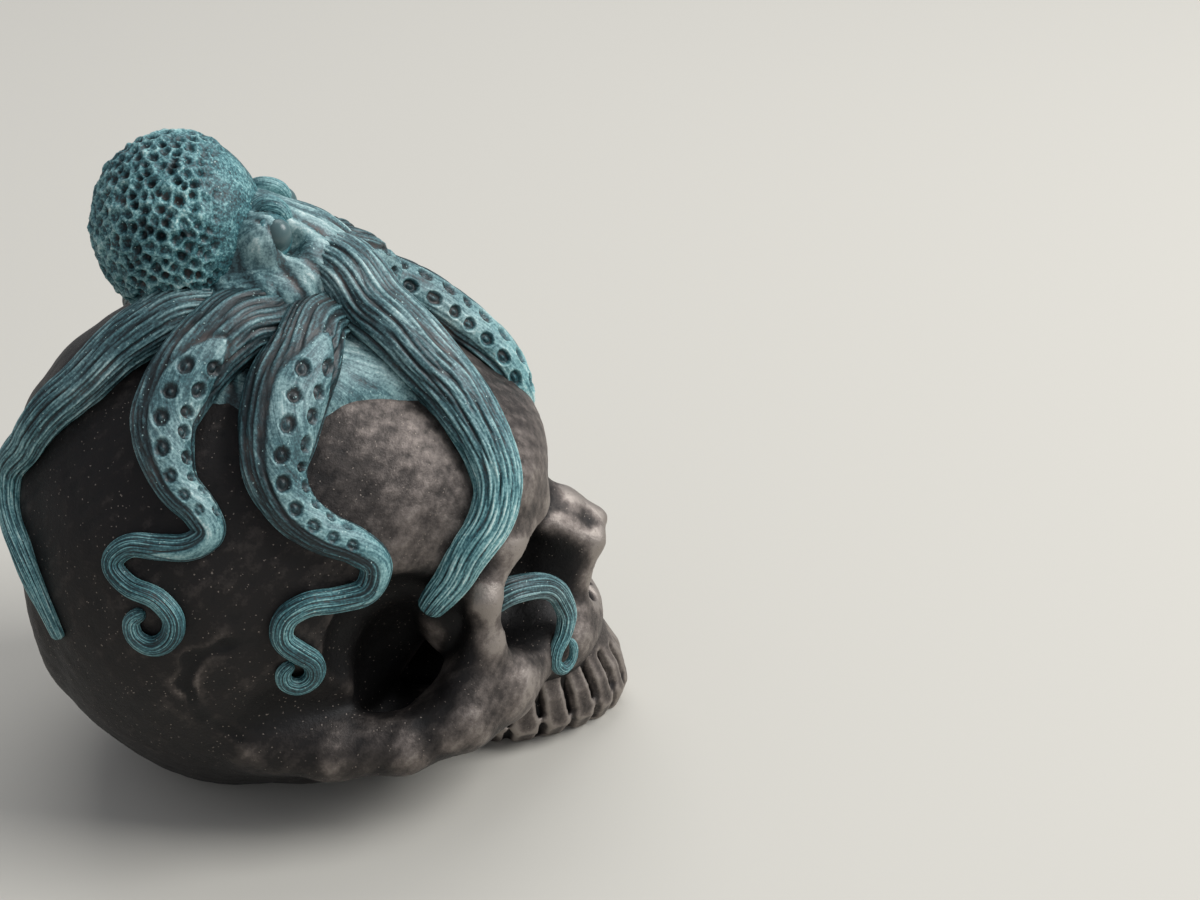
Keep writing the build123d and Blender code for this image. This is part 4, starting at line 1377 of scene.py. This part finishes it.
# %% Bronze and black on the bone
BONE_COLOURS = [
    (0.15, "#0e0d0d"), (0.42, "#211e1d"), (0.64, "#47423f"), (0.84, "#756d68"), (1.0, "#989089")]
BONE_PATCH_SIZE = 16 * mm
BONE_BRUSH_SIZE = 0.8 * mm
BONE_ROUGHNESS = 0.54
BONE_BUMP = 0.5
bronze, tree, surface, place = new_paint("bronze dry-brushed black resin")
# This attribute carries the wear plus painted light on the front and painted shade in the hollows.
worn = add(tree, "Attribute", {"attribute_name": "worn"}).outputs["Fac"]
patches = add(tree, "TexNoise", Vector=place, Scale=1 / BONE_PATCH_SIZE, Detail=3.0).outputs["Fac"]
brush = add(tree, "TexNoise", Vector=place, Scale=1 / BONE_BRUSH_SIZE, Detail=5.0, Roughness=0.7)
brush = brush.outputs["Fac"]
tone = layered(tree, worn, ((patches, 0.35), (brush, 0.45)), less=0.05)
colours = add(tree, "ValToRGB", Fac=tone)
fill_ramp(colours, BONE_COLOURS)
shown = with_flakes(tree, place, colours.outputs["Color"], bare_share=0.994, code="#80776f")
metal = add(tree, "MapRange", Value=tone, From_Min=0.3, From_Max=0.8, To_Min=0.45, To_Max=0.85).outputs[0]
bump = add(tree, "Bump", Height=brush, Strength=BONE_BUMP, Distance=BUMP_HEIGHT).outputs["Normal"]
for label, socket in (("Base Color", shown), ("Metallic", metal), ("Normal", bump)):
    tree.links.new(socket, surface.inputs[label])
surface.inputs["Roughness"].default_value = BONE_ROUGHNESS
print("bronze:", len(tree.nodes), "nodes")

# %% [markdown]
# The eyes are small and even, so a glossy enamel of one colour is enough for them. Then each piece
# gets its paint. The attributes on its corners say which one it needs.

# %% Paint on the pieces
gloss = even_paint("glossy dark teal enamel", "#4a6264", roughness=0.3)
for piece in bpy.data.objects:
    if piece.type != "MESH":
        continue
    if "relief" in piece.data.attributes:
        piece.data.materials.append(verdigris)
    elif "worn" in piece.data.attributes:
        piece.data.materials.append(bronze)
    elif piece.name.startswith("eyeball_"):
        piece.data.materials.append(gloss)
print("paints:", [paint.name for paint in (verdigris, bronze, gloss)])

# %% [markdown]
# ## Camera, floor and light
# The photograph looks down on the skull's right side, from about 40 cm away at the size chosen here.
# The camera's place and turn are fitted to the outline of the skull in it.

# %% Camera
CAMERA_PLACE = (0.01541, -0.33515, 0.25443)
CAMERA_TILT = 60
CAMERA_TURN = -8
CAMERA_LENS = 60
SENSOR_WIDTH = 36
NEAREST_SEEN = 0.01
camera_data = bpy.data.cameras.new("camera")
camera_data.lens = CAMERA_LENS
camera_data.sensor_width = SENSOR_WIDTH
camera_data.clip_start = NEAREST_SEEN
camera = bpy.data.objects.new("camera", camera_data)
camera.location = CAMERA_PLACE
camera.rotation_euler = (math.radians(CAMERA_TILT), 0, math.radians(CAMERA_TURN))
bpy.context.collection.objects.link(camera)
bpy.context.scene.camera = camera
bpy.context.scene.view_settings.view_transform = "Standard"
print("camera at", [round(value, 3) for value in camera.location])

# %% [markdown]
# The table is pale and plain, and so large that its edge stays out of the photograph's view.

# %% Floor
FLOOR_SIZE = 6
bpy.ops.object.select_all(action="DESELECT")
bpy.ops.mesh.primitive_plane_add(size=FLOOR_SIZE)
floor = bpy.context.object
floor.name = "floor"
floor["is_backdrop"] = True
floor.data.materials.append(even_paint("pale matt table top", "#c4c1b8", roughness=0.7))
print("floor:", floor.name, FLOOR_SIZE, "m wide")

# %% [markdown]
# One wide soft lamp stands to the upper right, like a window, and a weaker one hangs behind. The
# room itself gives a little bluish light from all sides, which keeps the shadows soft.

# %% Lamps
ROOM_COLOUR = "#f3f6ff"
ROOM_STRENGTH = 0.4


def soft_lamp(name, location, size, power, target):
    """A square lamp turned towards a target; power in watts."""
    x, y, z = (there - here for here, there in zip(location, target))
    tilt = math.acos(-z / math.hypot(x, y, z))
    bpy.ops.object.select_all(action="DESELECT")
    bpy.ops.object.light_add(type="AREA", location=location, rotation=(tilt, 0, math.atan2(-x, y)))
    lamp = bpy.context.object
    lamp.name = name
    lamp.data.size = size
    lamp.data.energy = power


soft_lamp("window", location=(1.0, -0.2, 1.0), size=0.8, power=18, target=(0, 0, 0.06))
soft_lamp("fill", location=(0.1, 0.6, 1.1), size=1.0, power=6, target=(0, 0, 0.05))
room = bpy.data.worlds.new("room")
bpy.context.scene.world = room
room.use_nodes = True
background = room.node_tree.nodes["Background"]
background.inputs["Color"].default_value = linear(ROOM_COLOUR)
background.inputs["Strength"].default_value = ROOM_STRENGTH

# %% [markdown]
# ## Sizes and finish
# The dressed part has to stay inside the box of the solids, so both boxes are written down.

# %% Sizes and finish
boxes = {"cad": solid_box, "visual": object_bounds()}
boxes = {label: [list(corner) for corner in box] for label, box in boxes.items()}
for label, box in boxes.items():
    print(label, "box in mm:", [[round(value / mm, 1) for value in corner] for corner in box])
